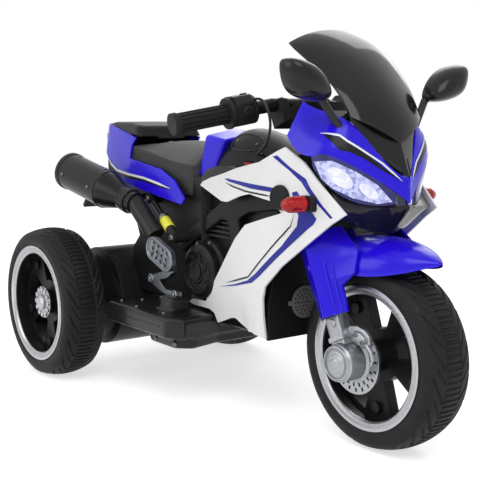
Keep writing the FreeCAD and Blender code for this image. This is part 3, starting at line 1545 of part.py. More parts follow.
def make_head_frame():
    """Head tube, the gusset back to the core, and the arm that carries the nose."""
    tube = on_fork("head_tube", z_cylinder("head_barrel", S.head_radius, S.head_low,
                                           S.head_low + S.head_length))
    bore = on_fork("head_bore", z_cylinder("head_hole", S.stem_radius + S.running_fit,
                                           S.head_low - S.overrun,
                                           S.head_low + S.head_length + S.overrun))
    low_x = FRONT_X - S.head_low * sine(S.rake)
    low_z = S.tyre_radius + S.head_low * cosine(S.rake)
    high = S.head_low + S.head_length
    high_x = FRONT_X - high * sine(S.rake)
    high_z = S.tyre_radius + high * cosine(S.rake)
    path = [(CORE_FRONT, low_z - S.head_radius), (low_x - S.head_radius * HALF_SHARE, low_z),
            (high_x, high_z - S.head_radius), (CORE_FRONT, CORE_TOP - S.tub_step)]
    gusset = prism("head_gusset", "XZ", path, -S.gusset_half_width, S.gusset_half_width * 2)
    tip = at(S.nose_tip_at)
    arm_up = S.nose_tip_up + S.nose_height * PANEL_LOW_SHARES[-1][2]
    arm = box("nose_arm", ((low_x + high_x) / 2, -S.nose_arm_half_width, arm_up),
              (tip, S.nose_arm_half_width, arm_up + S.head_radius))
    low_end, high_end = nose_line([PANEL_LOW_SHARES[-1], PANEL_TOP_SHARES[-1]])
    inset = S.nose_wall * HALF_SHARE
    beyond = prism("nose_arm_trim", "XZ", [
        (tip + S.overrun, low_end[2] * 2 - high_end[2]),
        (low_end[0] * 2 - high_end[0] - inset, low_end[2] * 2 - high_end[2]),
        (high_end[0] - inset, high_end[2]),
        (tip + S.overrun, high_end[2]),
    ], -S.overrun, S.overrun * 2)
    frame = fuse("head_body", [tube, gusset, cut("nose_arm", arm, beyond)])
    return node("head_frame", cut("head_frame", frame, bore, NODES["nose_panel"], NODES["nose_fairing"]))


make_stem()
make_head_frame()

# Fork: legs with their hub ends, brake discs, ribbed covers and the fender

LEG_HUB_SHARES = [(0, 1), (0.78, 1), (0.84, 0.9), (0.9, 0.9), (0.92, 0.55), (1, 0.5), (1, 0)]
DISC_SHIFT_SHARES = [0, 1]
COVER_RIDGE_SHARE = 0.1
COVER_VALLEY_SHARE = 0.66
COVER_SECTION_SHARES = [(0, 0.82, 0.84, 0.97), (0.3, 0.88, 0.95, 0.97), (0.39, 0.9, 1.72, 0.91),
                        (0.625, 0.95, 2, 0.8), (1, 1, 1.25, 0.75)]


def make_fork_leg():
    face = S.leg_inner
    hub_path = [(-face, dim(0))] + [(-face - S.leg_hub_reach * along, S.leg_hub_radius * out)
                                    for along, out in LEG_HUB_SHARES]
    hub = revolved("leg_hub", hub_path)
    half = S.leg_depth / 2
    leg = box("leg_bar", (-half, -S.leg_inner - S.leg_width, dim(0)),
              (half, -S.leg_inner, S.bridge_low))
    axle = y_cylinder("leg_axle_hole", S.axle_radius, dim(0), dim(0),
                      -S.front_axle_half_length, S.front_axle_half_length)
    return place_on_fork(cut("fork_leg", fuse("leg_body", [hub, leg]), axle))


def make_brake_disc():
    """Flat ring with two rows of slots, stepped down to the hub."""
    face = -S.disc_inner - S.disc_thickness
    body = revolved("brake_disc", [
        (-S.disc_inner, S.axle_radius + S.joint_gap), (-S.disc_inner, S.disc_radius),
        (face, S.disc_radius), (face, S.leg_hub_radius + S.disc_land), (-S.leg_inner, S.leg_hub_radius),
        (-S.leg_inner, S.axle_radius + S.joint_gap),
    ])
    slots = new_sketch(body, "XZ")
    half, long = S.disc_slot_width / 2, S.disc_slot_length
    outer = S.disc_radius - S.disc_land
    for row, shift in enumerate(DISC_SHIFT_SHARES):
        top = outer - (long + S.disc_land * HALF_SHARE) * row
        middle = S.disc_slot_width * shift
        draw(slots, [(middle - half, top - long), (middle + half, top - long),
                     (middle + half, top), (middle - half, top)])
    doc.recompute()
    add_ring_pattern(body, add_pocket(body, slots, both=True), S.disc_slots)
    return place_on_fork(body)


def make_fork_cover():
    """Ridged shroud over the upper leg, with a wing at its top that reaches the fender's flank."""
    def section(deep_share, wing_share, out_share):
        deep, wall = S.cover_half_depth * deep_share, S.cover_wall
        outer = [(-deep, -S.cover_edge_out), (deep * COVER_RIDGE_SHARE, -S.cover_ridge_out),
                 (deep * COVER_VALLEY_SHARE, -S.cover_valley_out),
                 (S.cover_half_depth * wing_share, -S.cover_edge_out * out_share)]
        inner = [(x, y + wall) for x, y in reversed(outer[1:])]
        return outer + inner + [(-deep + wall, -S.cover_edge_out)]

    sections = [(S.cover_low + S.cover_length * along, section(*shares))
                for along, *shares in COVER_SECTION_SHARES]
    shell = lofted("cover_shell", "XY", sections, ruled=True)
    boss = y_cylinder("cover_boss", S.cover_boss_radius, dim(0), S.cover_boss_up,
                      -S.cover_ridge_out + S.cover_wall, -S.leg_inner - S.leg_width)
    return place_on_fork(fuse("fork_cover", [shell, boss]))


FENDER_STATION_SHARES = [0, 0.4, 0.68, 0.88, 1]
FENDER_CROWN_SHARES = [-0.16, 0.02, -0.1, -0.36, -0.6]
FENDER_WIDTH_SHARES = [0.96, 0.98, 0.8, 0.42, 0.06]
FENDER_SHOULDER_SHARE = (0.68, 0.22)
FENDER_EDGE_SHARES = [1.39, 1.14, 1.02, 0.8, 0.64]


def make_fender():
    """Arched guard that runs out to a pointed beak."""
    lines = []
    for along, crown, width, edge in zip(FENDER_STATION_SHARES, FENDER_CROWN_SHARES,
                                         FENDER_WIDTH_SHARES, FENDER_EDGE_SHARES):
        x = at(S.fender_rear_at) + S.fender_length * along
        top = S.fender_up + S.fender_drop * crown
        low = S.fender_up - S.fender_drop * edge
        half = S.fender_half_width * width
        shoulder = top - (top - low) * FENDER_SHOULDER_SHARE[1]
        bend = half * FENDER_SHOULDER_SHARE[0]
        lines.append([(x, -half, low), (x, -bend, shoulder), (x, dim(0), top),
                      (x, bend, shoulder), (x, half, low)])
    shell = sheet_panel("fender_shell", lines, (dim(0), dim(0), -S.fender_wall))
    post = on_fork("fender_post", z_cylinder("fender_stud", S.fender_post_radius, S.tyre_radius,
                                             S.bridge_low))
    above = fender_above("fender_above", lines)
    return node("front_fender", fuse("front_fender", [shell, common("fender_foot", [post, above])]))


def fender_above(label, lines):
    """The space over the fender's skin."""
    return sheet_panel(label, lines, (dim(0), dim(0), S.fender_up))


FORK_LEG = make_fork_leg()
node("fork_legs", both_sides("fork_legs", FORK_LEG))
node("brake_discs", both_sides("brake_discs", make_brake_disc()))
node("fork_covers", both_sides("fork_covers", make_fork_cover()))
make_fender()

# Handlebar, switch housings, grips and the throttle cable

BAR_BEND = (at(S.bar_at), -S.bar_bend_out, S.bar_up)
BAR_END = (at(S.bar_end_at), -S.bar_end_out, S.bar_end_up)


def along_bar(reach):
    """The place on the right arm of the bar at a distance in from its end."""
    step = (vec(BAR_BEND) - vec(BAR_END)).normalize() * float(reach)
    return tuple(vec(BAR_END) + step)


def make_handlebar():
    left_bend, left_end = [(x, -y, z) for x, y, z in (BAR_BEND, BAR_END)]
    return node("handlebar", fuse("handlebar", [
        y_cylinder("bar_middle", S.bar_radius, BAR_BEND[0], BAR_BEND[2], -S.bar_bend_out, S.bar_bend_out),
        ball("bar_right_bend", S.bar_radius, BAR_BEND),
        ball("bar_left_bend", S.bar_radius, left_bend),
        rod("bar_right", S.bar_radius, BAR_BEND, BAR_END),
        rod("bar_left", S.bar_radius, left_bend, left_end),
    ]))


GROOVE_START_CAPS = 3


def make_grip(label, bore):
    """Ribbed sleeve with a flange at its inner end and a closed outer end."""
    cap = float(S.bar_end_cap)
    inner = along_bar(S.grip_length)
    outer = along_bar(-S.bar_end_cap)
    sleeve = rod(label + "_sleeve", S.grip_radius, outer, inner)
    flange_from = along_bar(S.grip_length - S.grip_flange)
    flange = rod(label + "_flange", S.grip_flange_radius, flange_from, inner)
    collar = rod(label + "_collar", S.grip_radius + S.grip_rib_depth, outer, along_bar(S.bar_end_cap))
    hole = rod(label + "_bore", bore, BAR_END, BAR_BEND)
    grooves = []
    count = int(float(S.grip_ribs))
    reach = float(S.grip_length - S.grip_flange * 2 - S.bar_end_cap)
    for rib in range(count):
        groove = Part.makeBox(float(S.grip_rib_depth) * 2, float(S.grip_rib_width), reach)
        floor = float(S.grip_radius - S.grip_rib_depth)
        groove.translate(Vector(floor, -float(S.grip_rib_width) / 2, cap * GROOVE_START_CAPS))
        groove.rotate(Vector(), Vector(0, 0, 1), 360 * rib / count)
        grooves.append(groove)
    comb = aim(solid(label + "_grooves", Part.makeCompound(grooves)), outer, inner)
    return cut(label, fuse(label + "_body", [sleeve, flange, collar]), hole, comb)


def make_housing():
    near = along_bar(S.grip_length + S.joint_gap)
    far = along_bar(S.grip_length + S.joint_gap + S.housing_length)
    drum = rod("housing_drum", S.housing_radius, near, far)
    hole = rod("housing_bore", S.bar_radius, BAR_END, BAR_BEND)
    return cut("switch_housing", drum, hole)


CABLE_TRIM_SHARE = 0.45


def cable_path(points):
    """Straight runs joined by tangent arcs as large as the runs allow."""
    edges = []
    here = points[0]
    for before, corner, after in zip(points, points[1:], points[2:]):
        back, ahead = (before - corner), (after - corner)
        trim = CABLE_TRIM_SHARE * min(back.Length, ahead.Length)
        start = corner + back.normalize() * trim
        end = corner + ahead.normalize() * trim
        turn = math.pi - back.getAngle(ahead)
        radius = trim / math.tan(turn / 2)
        print(f"cable arc radius {radius:.1f}")
        inward = (back + ahead).normalize()
        centre = corner + inward * math.hypot(radius, trim)
        edges.append(Part.LineSegment(here, start).toShape())
        edges.append(Part.Arc(start, centre - inward * radius, end).toShape())
        here = end
    edges.append(Part.LineSegment(here, points[-1]).toShape())
    return Part.Wire(edges)


CABLE_SHARES = [(0.42, 0.99, 0.935), (0.68, 1, 1), (0.93, 1, 0.815), (1, 0.98, 0.51), (0.83, 0.94, 0.23),
                (0.51, 0.88, 0.055), (0.19, 0.76, -0.03), (0, 0.5, -0.02)]


def make_cable():
    """Throttle lead from the switch housing down to the tank's flank."""
    foot = (at(S.cable_foot_at), dim(0), S.cable_foot_up)
    route = scaled(foot, (S.cable_reach, -S.cable_out, S.cable_rise), CABLE_SHARES)
    points = [vec(point) for point in route]
    path = cable_path(points)
    ring = Part.Wire([Part.makeCircle(float(S.cable_radius), points[0], points[1] - points[0])])
    tube = path.makePipeShell([ring], True, False)
    print(f"cable length {path.Length:.1f}, volume ratio "
          f"{tube.Volume / (math.pi * float(S.cable_radius) ** 2 * path.Length):.4f}")
    gland = rod("cable_gland", S.housing_radius + S.joint_gap, along_bar(S.grip_length),
                along_bar(S.grip_length + S.housing_length + S.grip_flange))
    return node("throttle_cable", cut("throttle_cable", solid("cable_tube", tube), gland,
                                      NODES["tank_cover"]))


make_handlebar()
node("throttle_grip", make_grip("throttle_grip", S.bar_radius + S.running_fit))
node("left_grip", mirror("left_grip", make_grip("plain_grip", S.bar_radius)))
node("switch_housings", both_sides("switch_housings", make_housing()))
make_cable()

# Check every piece, then write it out

doc.recompute()
faults = [thing.Label for thing in doc.Objects if {"Invalid", "Error"} & set(thing.State)]
for label, thing in NODES.items():
    shape = thing.Shape
    if shape.isNull() or not shape.isValid() or not shape.Solids:
        faults.append(label)
if faults:
    raise RuntimeError(f"faulty pieces: {faults}")

os.makedirs("parts", exist_ok=True)
for label, thing in NODES.items():
    thing.Shape.exportStep(f"parts/{label}.step")
print(f"{len(NODES)} pieces written")
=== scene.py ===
import cmath
import json
from math import copysign, cos, pi, radians, sin

import bmesh
import bpy
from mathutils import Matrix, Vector
from mathutils.bvhtree import BVHTree


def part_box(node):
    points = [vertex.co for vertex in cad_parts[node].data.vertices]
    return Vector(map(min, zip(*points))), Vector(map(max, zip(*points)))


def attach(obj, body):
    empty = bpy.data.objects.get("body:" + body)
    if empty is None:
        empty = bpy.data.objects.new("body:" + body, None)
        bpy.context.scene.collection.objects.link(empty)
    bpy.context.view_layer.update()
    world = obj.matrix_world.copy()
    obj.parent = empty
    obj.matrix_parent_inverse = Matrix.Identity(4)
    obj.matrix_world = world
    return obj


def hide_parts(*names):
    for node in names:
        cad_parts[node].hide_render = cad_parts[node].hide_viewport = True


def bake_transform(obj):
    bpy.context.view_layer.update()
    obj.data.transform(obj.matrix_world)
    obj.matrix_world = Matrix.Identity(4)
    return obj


# Looks for the three-wheeled ride-on motorbike, in metres; tables inside mm() are in millimetres.
# x runs forward, y to the rider's left, z up from the ground.

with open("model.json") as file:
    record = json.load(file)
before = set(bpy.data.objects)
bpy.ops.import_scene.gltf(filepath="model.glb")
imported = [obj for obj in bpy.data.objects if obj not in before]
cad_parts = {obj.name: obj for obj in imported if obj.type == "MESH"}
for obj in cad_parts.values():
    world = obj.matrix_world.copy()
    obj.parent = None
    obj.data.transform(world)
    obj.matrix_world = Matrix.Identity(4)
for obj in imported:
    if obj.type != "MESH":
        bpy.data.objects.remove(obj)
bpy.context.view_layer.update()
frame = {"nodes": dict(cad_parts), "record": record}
NODES = frame["nodes"]
RECORD_SLOTS = {part["node"]: part["material_slot"] for part in frame["record"]["subparts"]}
BODY_OF = {node: body for body, nodes in frame["record"]["behaviour"]["bodies"].items() for node in nodes}
RIGHT_OUT, X_AXIS, Z_AXIS = Vector((0, -1, 0)), Vector((1, 0, 0)), Vector((0, 0, 1))
FRONT_AXLE, REAR_AXLE, TRACK = Vector((0.35, 0, 0.145)), Vector((-0.35, 0, 0.145)), Vector((0, 0.212, 0))
WHEELS = {"front": FRONT_AXLE, "right": REAR_AXLE - TRACK, "left": REAR_AXLE + TRACK}
RAKE = radians(24)


def mm(table):
    """A table of lengths in millimetres, turned into metres."""
    return [tuple(length / 1000 for length in row) for row in table]


# Materials

EDGE_START, EDGE_FULL = 0.51, 0.6
FINE_GRAIN = 0.00001
MATERIALS = {}


def put(tree, socket, value):
    """Link another node's output to an input, or set a plain value there."""
    if isinstance(value, bpy.types.NodeSocket):
        tree.links.new(value, socket)
    else:
        socket.default_value = value


def add_node(tree, kind, inputs=None, **settings):
    node = tree.nodes.new("ShaderNode" + kind)
    for key, value in settings.items():
        setattr(node, key, value)
    for key, value in (inputs or {}).items():
        put(tree, node.inputs[key], value)
    return node


class Shader:
    """A small helper that builds a node material step by step."""

    def __init__(self, name):
        MATERIALS[name] = bpy.data.materials.new(name)
        MATERIALS[name].use_nodes = True
        self.tree = MATERIALS[name].node_tree
        self.surface = self.tree.nodes["Principled BSDF"]
        self.place = self.add("TexCoord").outputs["Object"]

    def add(self, kind, inputs=None, **settings):
        return add_node(self.tree, kind, inputs, **settings)

    def set(self, **inputs):
        for key, value in inputs.items():
            put(self.tree, self.surface.inputs[key.replace("_", " ")], value)

    def noise(self, scale, detail=3.0, stretch=(1, 1, 1)):
        spot = self.add("Mapping", {"Vector": self.place, "Scale": stretch}).outputs["Vector"]
        return self.add("TexNoise", {"Vector": spot, "Scale": scale, "Detail": detail}).outputs["Fac"]

    def cells(self, scale, output="Distance"):
        return self.add("TexVoronoi", {"Vector": self.place, "Scale": scale}).outputs[output]

    def ramp(self, source, low, high, start=0.3, end=0.7):
        node = self.add("ValToRGB", {"Fac": source})
        for element, place, colour in zip(node.color_ramp.elements, (start, end), (low, high)):
            element.position = place
            element.color = (*colour, 1)
        return node.outputs["Color"]

    def spread(self, source, low, high):
        return self.add("MapRange", {"Value": source, "To Min": low, "To Max": high}).outputs["Result"]

    def bump(self, source, distance, strength, under=None):
        node = self.add("Bump", {"Height": source, "Distance": distance, "Strength": strength})
        if under:
            put(self.tree, node.inputs["Normal"], under.outputs["Normal"])
        self.set(Normal=node.outputs["Normal"])
        return node

    def soften(self, radius):
        """Round off hard edges in the shading."""
        return self.add("Bevel", {"Radius": radius}, samples=4)

    def edges(self, colour, edge_highlight, amount):
        """Lighten the colour on sharp edges: a painted highlight along them."""
        sharp = self.add("NewGeometry").outputs["Pointiness"]
        limits = {"From Min": EDGE_START, "From Max": EDGE_FULL, "To Max": amount}
        share = self.add("MapRange", {"Value": sharp, **limits}).outputs["Result"]
        mix = self.add("Mix", {"Factor": share, "A": colour, "B": (*edge_highlight, 1)}, data_type="RGBA")
        self.set(Base_Color=mix.outputs["Result"])


def tone(colour, share):
    return tuple(min(1.0, part * share) for part in colour)


def moulded(name, colour, rough, grain=0.00004, grain_scale=900, coat=0.0, edge_highlight=None, shift=0.12, gloss=0.5):
    """Moulded plastic: faint colour drift, uneven gloss, fine surface grain, and a painted highlight on sharp
    edges.
    """
    look = Shader(name)
    colours = look.ramp(look.noise(9), tone(colour, 1 - shift), tone(colour, 1 + shift))
    look.edges(colours, edge_highlight or tone(colour, 1.6), 0.35)
    look.set(Roughness=look.spread(look.noise(60), rough * 0.85, rough * 1.15))
    look.bump(look.noise(grain_scale, 2), grain, 0.6, look.soften(0.0016) if grain > FINE_GRAIN else None)
    look.set(Coat_Weight=coat, Coat_Roughness=0.06, Specular_IOR_Level=gloss)


def metal(name, colour, rough, stretch=(1, 1, 1), scale=300, depth=0.00003):
    """Bare or painted metal with fine brushing, and a painted highlight on sharp edges."""
    look = Shader(name)
    grain = look.noise(scale, 4, stretch)
    look.edges(look.ramp(grain, tone(colour, 0.88), tone(colour, 1.08)), tone(colour, 1.25), 0.4)
    look.set(Roughness=look.spread(grain, rough * 0.75, rough * 1.3))
    look.bump(grain, depth, 0.5, look.soften(0.0012))
    look.set(Metallic=1.0)


def rubber(name, colour):
    """Rubber with a little dust, a painted highlight on sharp edges and a fine grain."""
    look = Shader(name)
    look.edges(look.ramp(look.noise(30, 5), tone(colour, 0.8), tone(colour, 1.35)), tone(colour, 2.2), 0.4)
    look.set(Roughness=look.spread(look.noise(90), 0.5, 0.68))
    look.bump(look.noise(1400, 3), 0.00006, 0.7)
    look.set(Specular_IOR_Level=0.2)


def leather(name, colour):
    """Soft foam-backed skin with a pebble grain, and a painted highlight on sharp edges."""
    look = Shader(name)
    look.edges(look.ramp(look.noise(14, 4), tone(colour, 0.85), tone(colour, 1.12)), tone(colour, 1.5), 0.3)
    look.set(Roughness=look.spread(look.noise(120), 0.48, 0.64))
    fold = look.bump(look.noise(55, 3), 0.0004, 0.25)
    look.bump(look.cells(520), 0.00022, 0.55, fold)
    look.set(Specular_IOR_Level=0.3)


def lens(name, colour, glow, facet_scale, shade=None):
    """Lamp lens with a moulded facet pattern behind a smooth front."""
    look = Shader(name)
    facets = look.cells(facet_scale)
    shades = look.cells(facet_scale, "Color")
    colours = look.ramp(shades, shade or tone(colour, 0.72), tone(colour, 1.1), 0.2, 0.6)
    look.set(Base_Color=colours, Emission_Color=colours)
    look.bump(facets, 0.0008, 0.5)
    look.set(Roughness=look.spread(look.noise(70), 0.06, 0.14))
    look.set(Emission_Strength=glow, Coat_Weight=0.12, Coat_Roughness=0.03, Specular_IOR_Level=0.25)


moulded("blue_gloss", (0.018, 0.003, 0.7), 0.22, 0.000005, 240, 0.12, (0.05, 0.05, 0.8), 0.05, 0.22)
moulded("white_gloss", (0.87, 0.87, 0.88), 0.26, 0.000004, 240, 0.2, (0.9, 0.9, 0.91), 0.008, 0.3)
moulded("black_satin", (0.0085, 0.0085, 0.009), 0.36, edge_highlight=(0.04, 0.04, 0.042), gloss=0.16)
moulded("black_gloss", (0.01, 0.01, 0.011), 0.22, 0.00001, 500, 0.08, (0.05, 0.05, 0.055), gloss=0.22)
moulded("dark_grey", (0.022, 0.022, 0.023), 0.5, 0.00007, 1100, edge_highlight=(0.07, 0.07, 0.07), gloss=0.2)
moulded("screen_smoke", (0.008, 0.008, 0.0085), 0.1, 0.000004, 160, 0.12, (0.03, 0.03, 0.032), gloss=0.24)
moulded("exhaust_black", (0.0085, 0.0085, 0.0092), 0.3, 0.00002, 700, 0.03, (0.05, 0.05, 0.052), gloss=0.2)
moulded("grille_grey", (0.15, 0.15, 0.155), 0.4, edge_highlight=(0.3, 0.3, 0.3), gloss=0.3)
moulded("lip_grey", (0.045, 0.045, 0.047), 0.5, edge_highlight=(0.1, 0.1, 0.1), gloss=0.2)
moulded("gear_white", (0.7, 0.7, 0.66), 0.5)
moulded("battery_case", (0.03, 0.03, 0.035), 0.5)
moulded("board_green", (0.02, 0.14, 0.05), 0.5)
moulded("yellow_sleeve", (0.8, 0.76, 0.05), 0.4)
moulded("decal_black", (0.008, 0.008, 0.009), 0.3, 0.000005, 240, 0.05, gloss=0.16)
moulded("decal_blue", (0.018, 0.022, 0.3), 0.26, 0.000005, 240, 0.08, gloss=0.2)
moulded("decal_white", (0.84, 0.84, 0.86), 0.3, 0.000005, 240, 0.1, shift=0.01)
leather("seat_grey", (0.078, 0.078, 0.08))
# A darker copy of the seat grey for its flanks: painted shade on the sides that turn from the light.
leather("seat_side", (0.03, 0.03, 0.031))
rubber("tyre_black", (0.0105, 0.0105, 0.011))
rubber("grip_rubber", (0.01, 0.01, 0.0105))
metal("silver_trim", (0.4, 0.4, 0.42), 0.3, scale=500)
metal("fork_silver", (0.36, 0.37, 0.39), 0.36, (1, 1, 0.12), 420)
metal("steel", (0.34, 0.35, 0.37), 0.3, (1, 0.1, 1), 420)
metal("reflector_chrome", (0.7, 0.71, 0.76), 0.12)
metal("peg_grey", (0.23, 0.245, 0.27), 0.34, scale=600)
metal("screw_dark", (0.16, 0.16, 0.17), 0.34, scale=900)
metal("mirror_glass", (0.85, 0.87, 0.88), 0.04, scale=40, depth=0.000004)
lens("lens_clear", (0.028, 0.028, 0.17), 0.03, 130)
lens("lamp_glow", (0.58, 0.61, 0.94), 0.12, 190, (0.3, 0.31, 0.66))
lens("lamp_bowl", (0.8, 0.82, 0.94), 0.14, 110, (0.7, 0.73, 0.94))
lens("lens_red", (0.4, 0.003, 0.003), 0.03, 210)

# Nodes that look otherwise than their slot in the record says
NODE_LOOKS = {"exhaust": "exhaust_black", "speaker_grille": "grille_grey", "handlebar": "black_satin",
              "floor_pan": "black_gloss", "foot_peg_sets": "peg_grey"}


def look_of(name):
    return NODE_LOOKS.get(name, RECORD_SLOTS[name])


for name, thing in NODES.items():
    thing.data.materials.clear()
    thing.data.materials.append(MATERIALS[look_of(name)])


# Mesh helpers

CAST_BACK, CAST_THROUGH = 0.15, 0.3
CAST_SIDE, CAST_HIGH, CAST_REACH = 0.4, 0.8, 0.9
RIBBON_STEP, RIBBON_TIP, RIBBON_SWELL = 0.004, 0.15, 6


def add_to_scene(name, data):
    thing = bpy.data.objects.new(name, data)
    bpy.context.scene.collection.objects.link(thing)
    return thing


def finish_piece(name, shape, material, body="chassis", smooth=True):
    """Turn a shape's faces outward, give it a look and link it; without a body it rides on none."""
    shape.normal_update()
    bmesh.ops.recalc_face_normals(shape, faces=shape.faces)
    mesh = bpy.data.meshes.new(name)
    shape.to_mesh(mesh)
    shape.free()
    mesh.polygons.foreach_set("use_smooth", [smooth] * len(mesh.polygons))
    mesh.materials.append(MATERIALS[material])
    thing = add_to_scene(name, mesh)
    if body:
        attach(thing, body)
    return thing


def new_piece(name, verts, faces, material, body="chassis", smooth=True):
    """A mesh piece in the part's frame that rides on a body."""
    mesh = bpy.data.meshes.new("rough")
    mesh.from_pydata([tuple(vert) for vert in verts], [], faces)
    mesh.update()
    shape = bmesh.new()
    shape.from_mesh(mesh)
    bpy.data.meshes.remove(mesh)
    return finish_piece(name, shape, material, body, smooth)


def sharpen(thing, degrees):
    """Keep edges over an angle crisp in the smooth shading."""
    thing.data.set_sharp_from_angle(angle=radians(degrees))


def rounded(thing):
    """Subdivide a coarse cage into a smooth form."""
    smooth = thing.modifiers.new("round", "SUBSURF")
    smooth.levels = smooth.render_levels = 3


def net_faces(rings, count, around=True, wrapped=False):
    """Quads over rings of points; around joins each ring's ends, wrapped the last ring to the first."""
    faces = []
    for ring in range(rings if wrapped else rings - 1):
        near, far = ring * count, (ring + 1) % rings * count
        for step in range(count if around else count - 1):
            then = (step + 1) % count
            faces.append((near + step, near + then, far + then, far + step))
    return faces


def tube_faces(rings, count):
    """A tube's quads and its two flat ends."""
    ends = [tuple(reversed(range(count))), tuple(range((rings - 1) * count, rings * count))]
    return net_faces(rings, count) + ends


def ring_of(place, side, other, radius, count):
    """Points round a place, in the plane of two directions."""
    turns = [2 * pi * step / count for step in range(count)]
    return [place + (side * cos(turn) + other * sin(turn)) * radius for turn in turns]


def polar(radius, turn):
    return radius * cos(turn), radius * sin(turn)


def tree_of(name):
    """A search tree over a CAD node's shape."""
    mesh = NODES[name].data
    faces = [tuple(face.vertices) for face in mesh.polygons]
    return BVHTree.FromPolygons([vert.co for vert in mesh.vertices], faces)


def cast(tree, start, aim, reach=CAST_REACH):
    """The first place that a ray meets on a node, and the normal there that faces the ray."""
    place, normal, _, _ = tree.ray_cast(start, aim, reach)
    return place, (-normal if place and normal.dot(aim) > 0 else normal)


def beside(tree, x, z):
    """The place on the right-hand outside of a node at (x, z), and its outward normal."""
    return cast(tree, Vector((x, -CAST_SIDE, z)), -RIGHT_OUT)


def on_top(tree, x, y):
    """The highest place on a node at (x, y), and its upward normal."""
    return cast(tree, Vector((x, y, CAST_HIGH)), -Z_AXIS)


def mirrored(points):
    return [Vector((point[0], -point[1], point[2])) for point in points]


def sliced(shape, axis, places):
    """Cut extra edges across a shape, so that it can bend."""
    normal = Vector([1.0 if index == axis else 0.0 for index in range(3)])
    for place in places:
        everything = shape.verts[:] + shape.edges[:] + shape.faces[:]
        bmesh.ops.bisect_plane(shape, geom=everything, plane_co=normal * place, plane_no=normal)


def decal(name, tree, outline, direction, material, step=0.005, lift=0.0004):
    """A thin printed patch: an outline of places, cast along a direction onto a surface."""
    aim = direction.normalized()
    across = aim.cross(Z_AXIS).normalized()
    up = across.cross(aim).normalized()
    flat = [(point.dot(across), point.dot(up)) for point in outline]
    patch = bmesh.new()
    patch.faces.new([patch.verts.new((x, y, 0)) for x, y in flat])
    bmesh.ops.triangulate(patch, faces=patch.faces)
    for axis in (0, 1):
        low = min(point[axis] for point in flat)
        high = max(point[axis] for point in flat)
        sliced(patch, axis, [low + count * step for count in range(1, int((high - low) / step) + 1)])
    depth = sum(point.dot(aim) for point in outline) / len(outline)
    lost = []
    for vert in patch.verts:
        start = across * vert.co.x + up * vert.co.y + aim * (depth - CAST_BACK)
        place, normal = cast(tree, start, aim, CAST_THROUGH)
        if place:
            vert.co = place + normal * lift
        else:
            lost.append(vert)
    bmesh.ops.delete(patch, geom=lost, context="VERTS")
    finish_piece(name, patch, material)


def ribbon(name, tree, line, width, material, lift=0.0005):
    """A printed line that lies on the nearest surface, tapered at both ends."""
    spots = []
    for first, last in zip(line, line[1:]):
        count = max(2, int((last - first).length / RIBBON_STEP))
        spots += [first.lerp(last, part / count) for part in range(count)]
    spots.append(line[-1])
    found = [tree.find_nearest(spot) for spot in spots]
    verts = []
    for index, (place, normal, _, _) in enumerate(found):
        ahead = found[min(index + 1, len(found) - 1)][0] - found[max(index - 1, 0)][0]
        outside = Vector((0.4, copysign(1, place.y), 0.3))
        outward = normal if normal.dot(outside) > 0 else -normal
        side = outward.cross(ahead).normalized()
        share = index / (len(found) - 1)
        half = width / 2 * min(1, RIBBON_SWELL * min(share, 1 - share) + RIBBON_TIP)
        verts += [place + outward * lift + side * half, place + outward * lift - side * half]
    faces = [(2 * index, 2 * index + 2, 2 * index + 3, 2 * index + 1) for index in range(len(found) - 1)]
    new_piece(name, verts, faces, material)


# Hard-edged CAD shapes again, with their edges rolled over as moulding leaves them

WELD, FLAT = 0.000002, radians(1)
ROLLED = {"rear_tub": 0.005, "engine_block": 0.004, "tank_pad": 0.005, "frame_rails": 0.003,
          "rear_mudguard": 0.0018, "foot_peg_sets": 0.0018, "fork_legs": 0.002, "fork_covers": 0.0014,
          "inner_cowl": 0.0018, "tail_cover": 0.0016, "side_fairing_right": 0.001, "side_fairing_left": 0.001}
REST_REAR, REST_RUN, REST_LIFT, REST_BASE = -0.36, 0.05, 0.0145, 0.452
CHIN_FRONT, CHIN_RUN, CHIN_SIDE, CHIN_TUCK = 0.362, 0.03, 0.06, 0.085
PAD_BASE, PAD_FALL = 0.46, 0.18


def own_copy(name, suffix, reshape=None):
    """A new piece that starts from a CAD node's shape and stands in for it."""
    shape = bmesh.new()
    shape.from_mesh(NODES[name].data)
    bmesh.ops.remove_doubles(shape, verts=shape.verts, dist=WELD)
    bmesh.ops.dissolve_limit(shape, angle_limit=FLAT, verts=shape.verts, edges=shape.edges)
    if reshape:
        reshape(shape)
    thing = finish_piece(name + suffix, shape, look_of(name), BODY_OF[name])
    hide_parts(name)
    return thing


def raise_front(shape):
    """The backrest's lip rises towards the seat."""
    sliced(shape, 0, [-0.36, -0.34, -0.32, -0.3, -0.28, -0.26])
    for vert in shape.verts:
        if vert.co.z < REST_BASE and vert.co.x > REST_REAR:
            vert.co.z += REST_LIFT * min(1, (vert.co.x - REST_REAR) / REST_RUN)


def tuck_sides(shape):
    """The chin's rear ends stay behind the white fairings."""
    sliced(shape, 0, [0.3 + 0.01 * step for step in range(8)])
    for vert in shape.verts:
        if abs(vert.co.y) > CHIN_SIDE:
            vert.co.y *= 1 - CHIN_TUCK * max(0, min(1, (CHIN_FRONT - vert.co.x) / CHIN_RUN))


def crown_top(shape):
    """The pad in front of the seat falls away to both sides."""
    sliced(shape, 1, [-0.04, -0.02, 0, 0.02, 0.04])
    for vert in shape.verts:
        if vert.co.z > PAD_BASE:
            vert.co.z -= PAD_FALL * abs(vert.co.y)


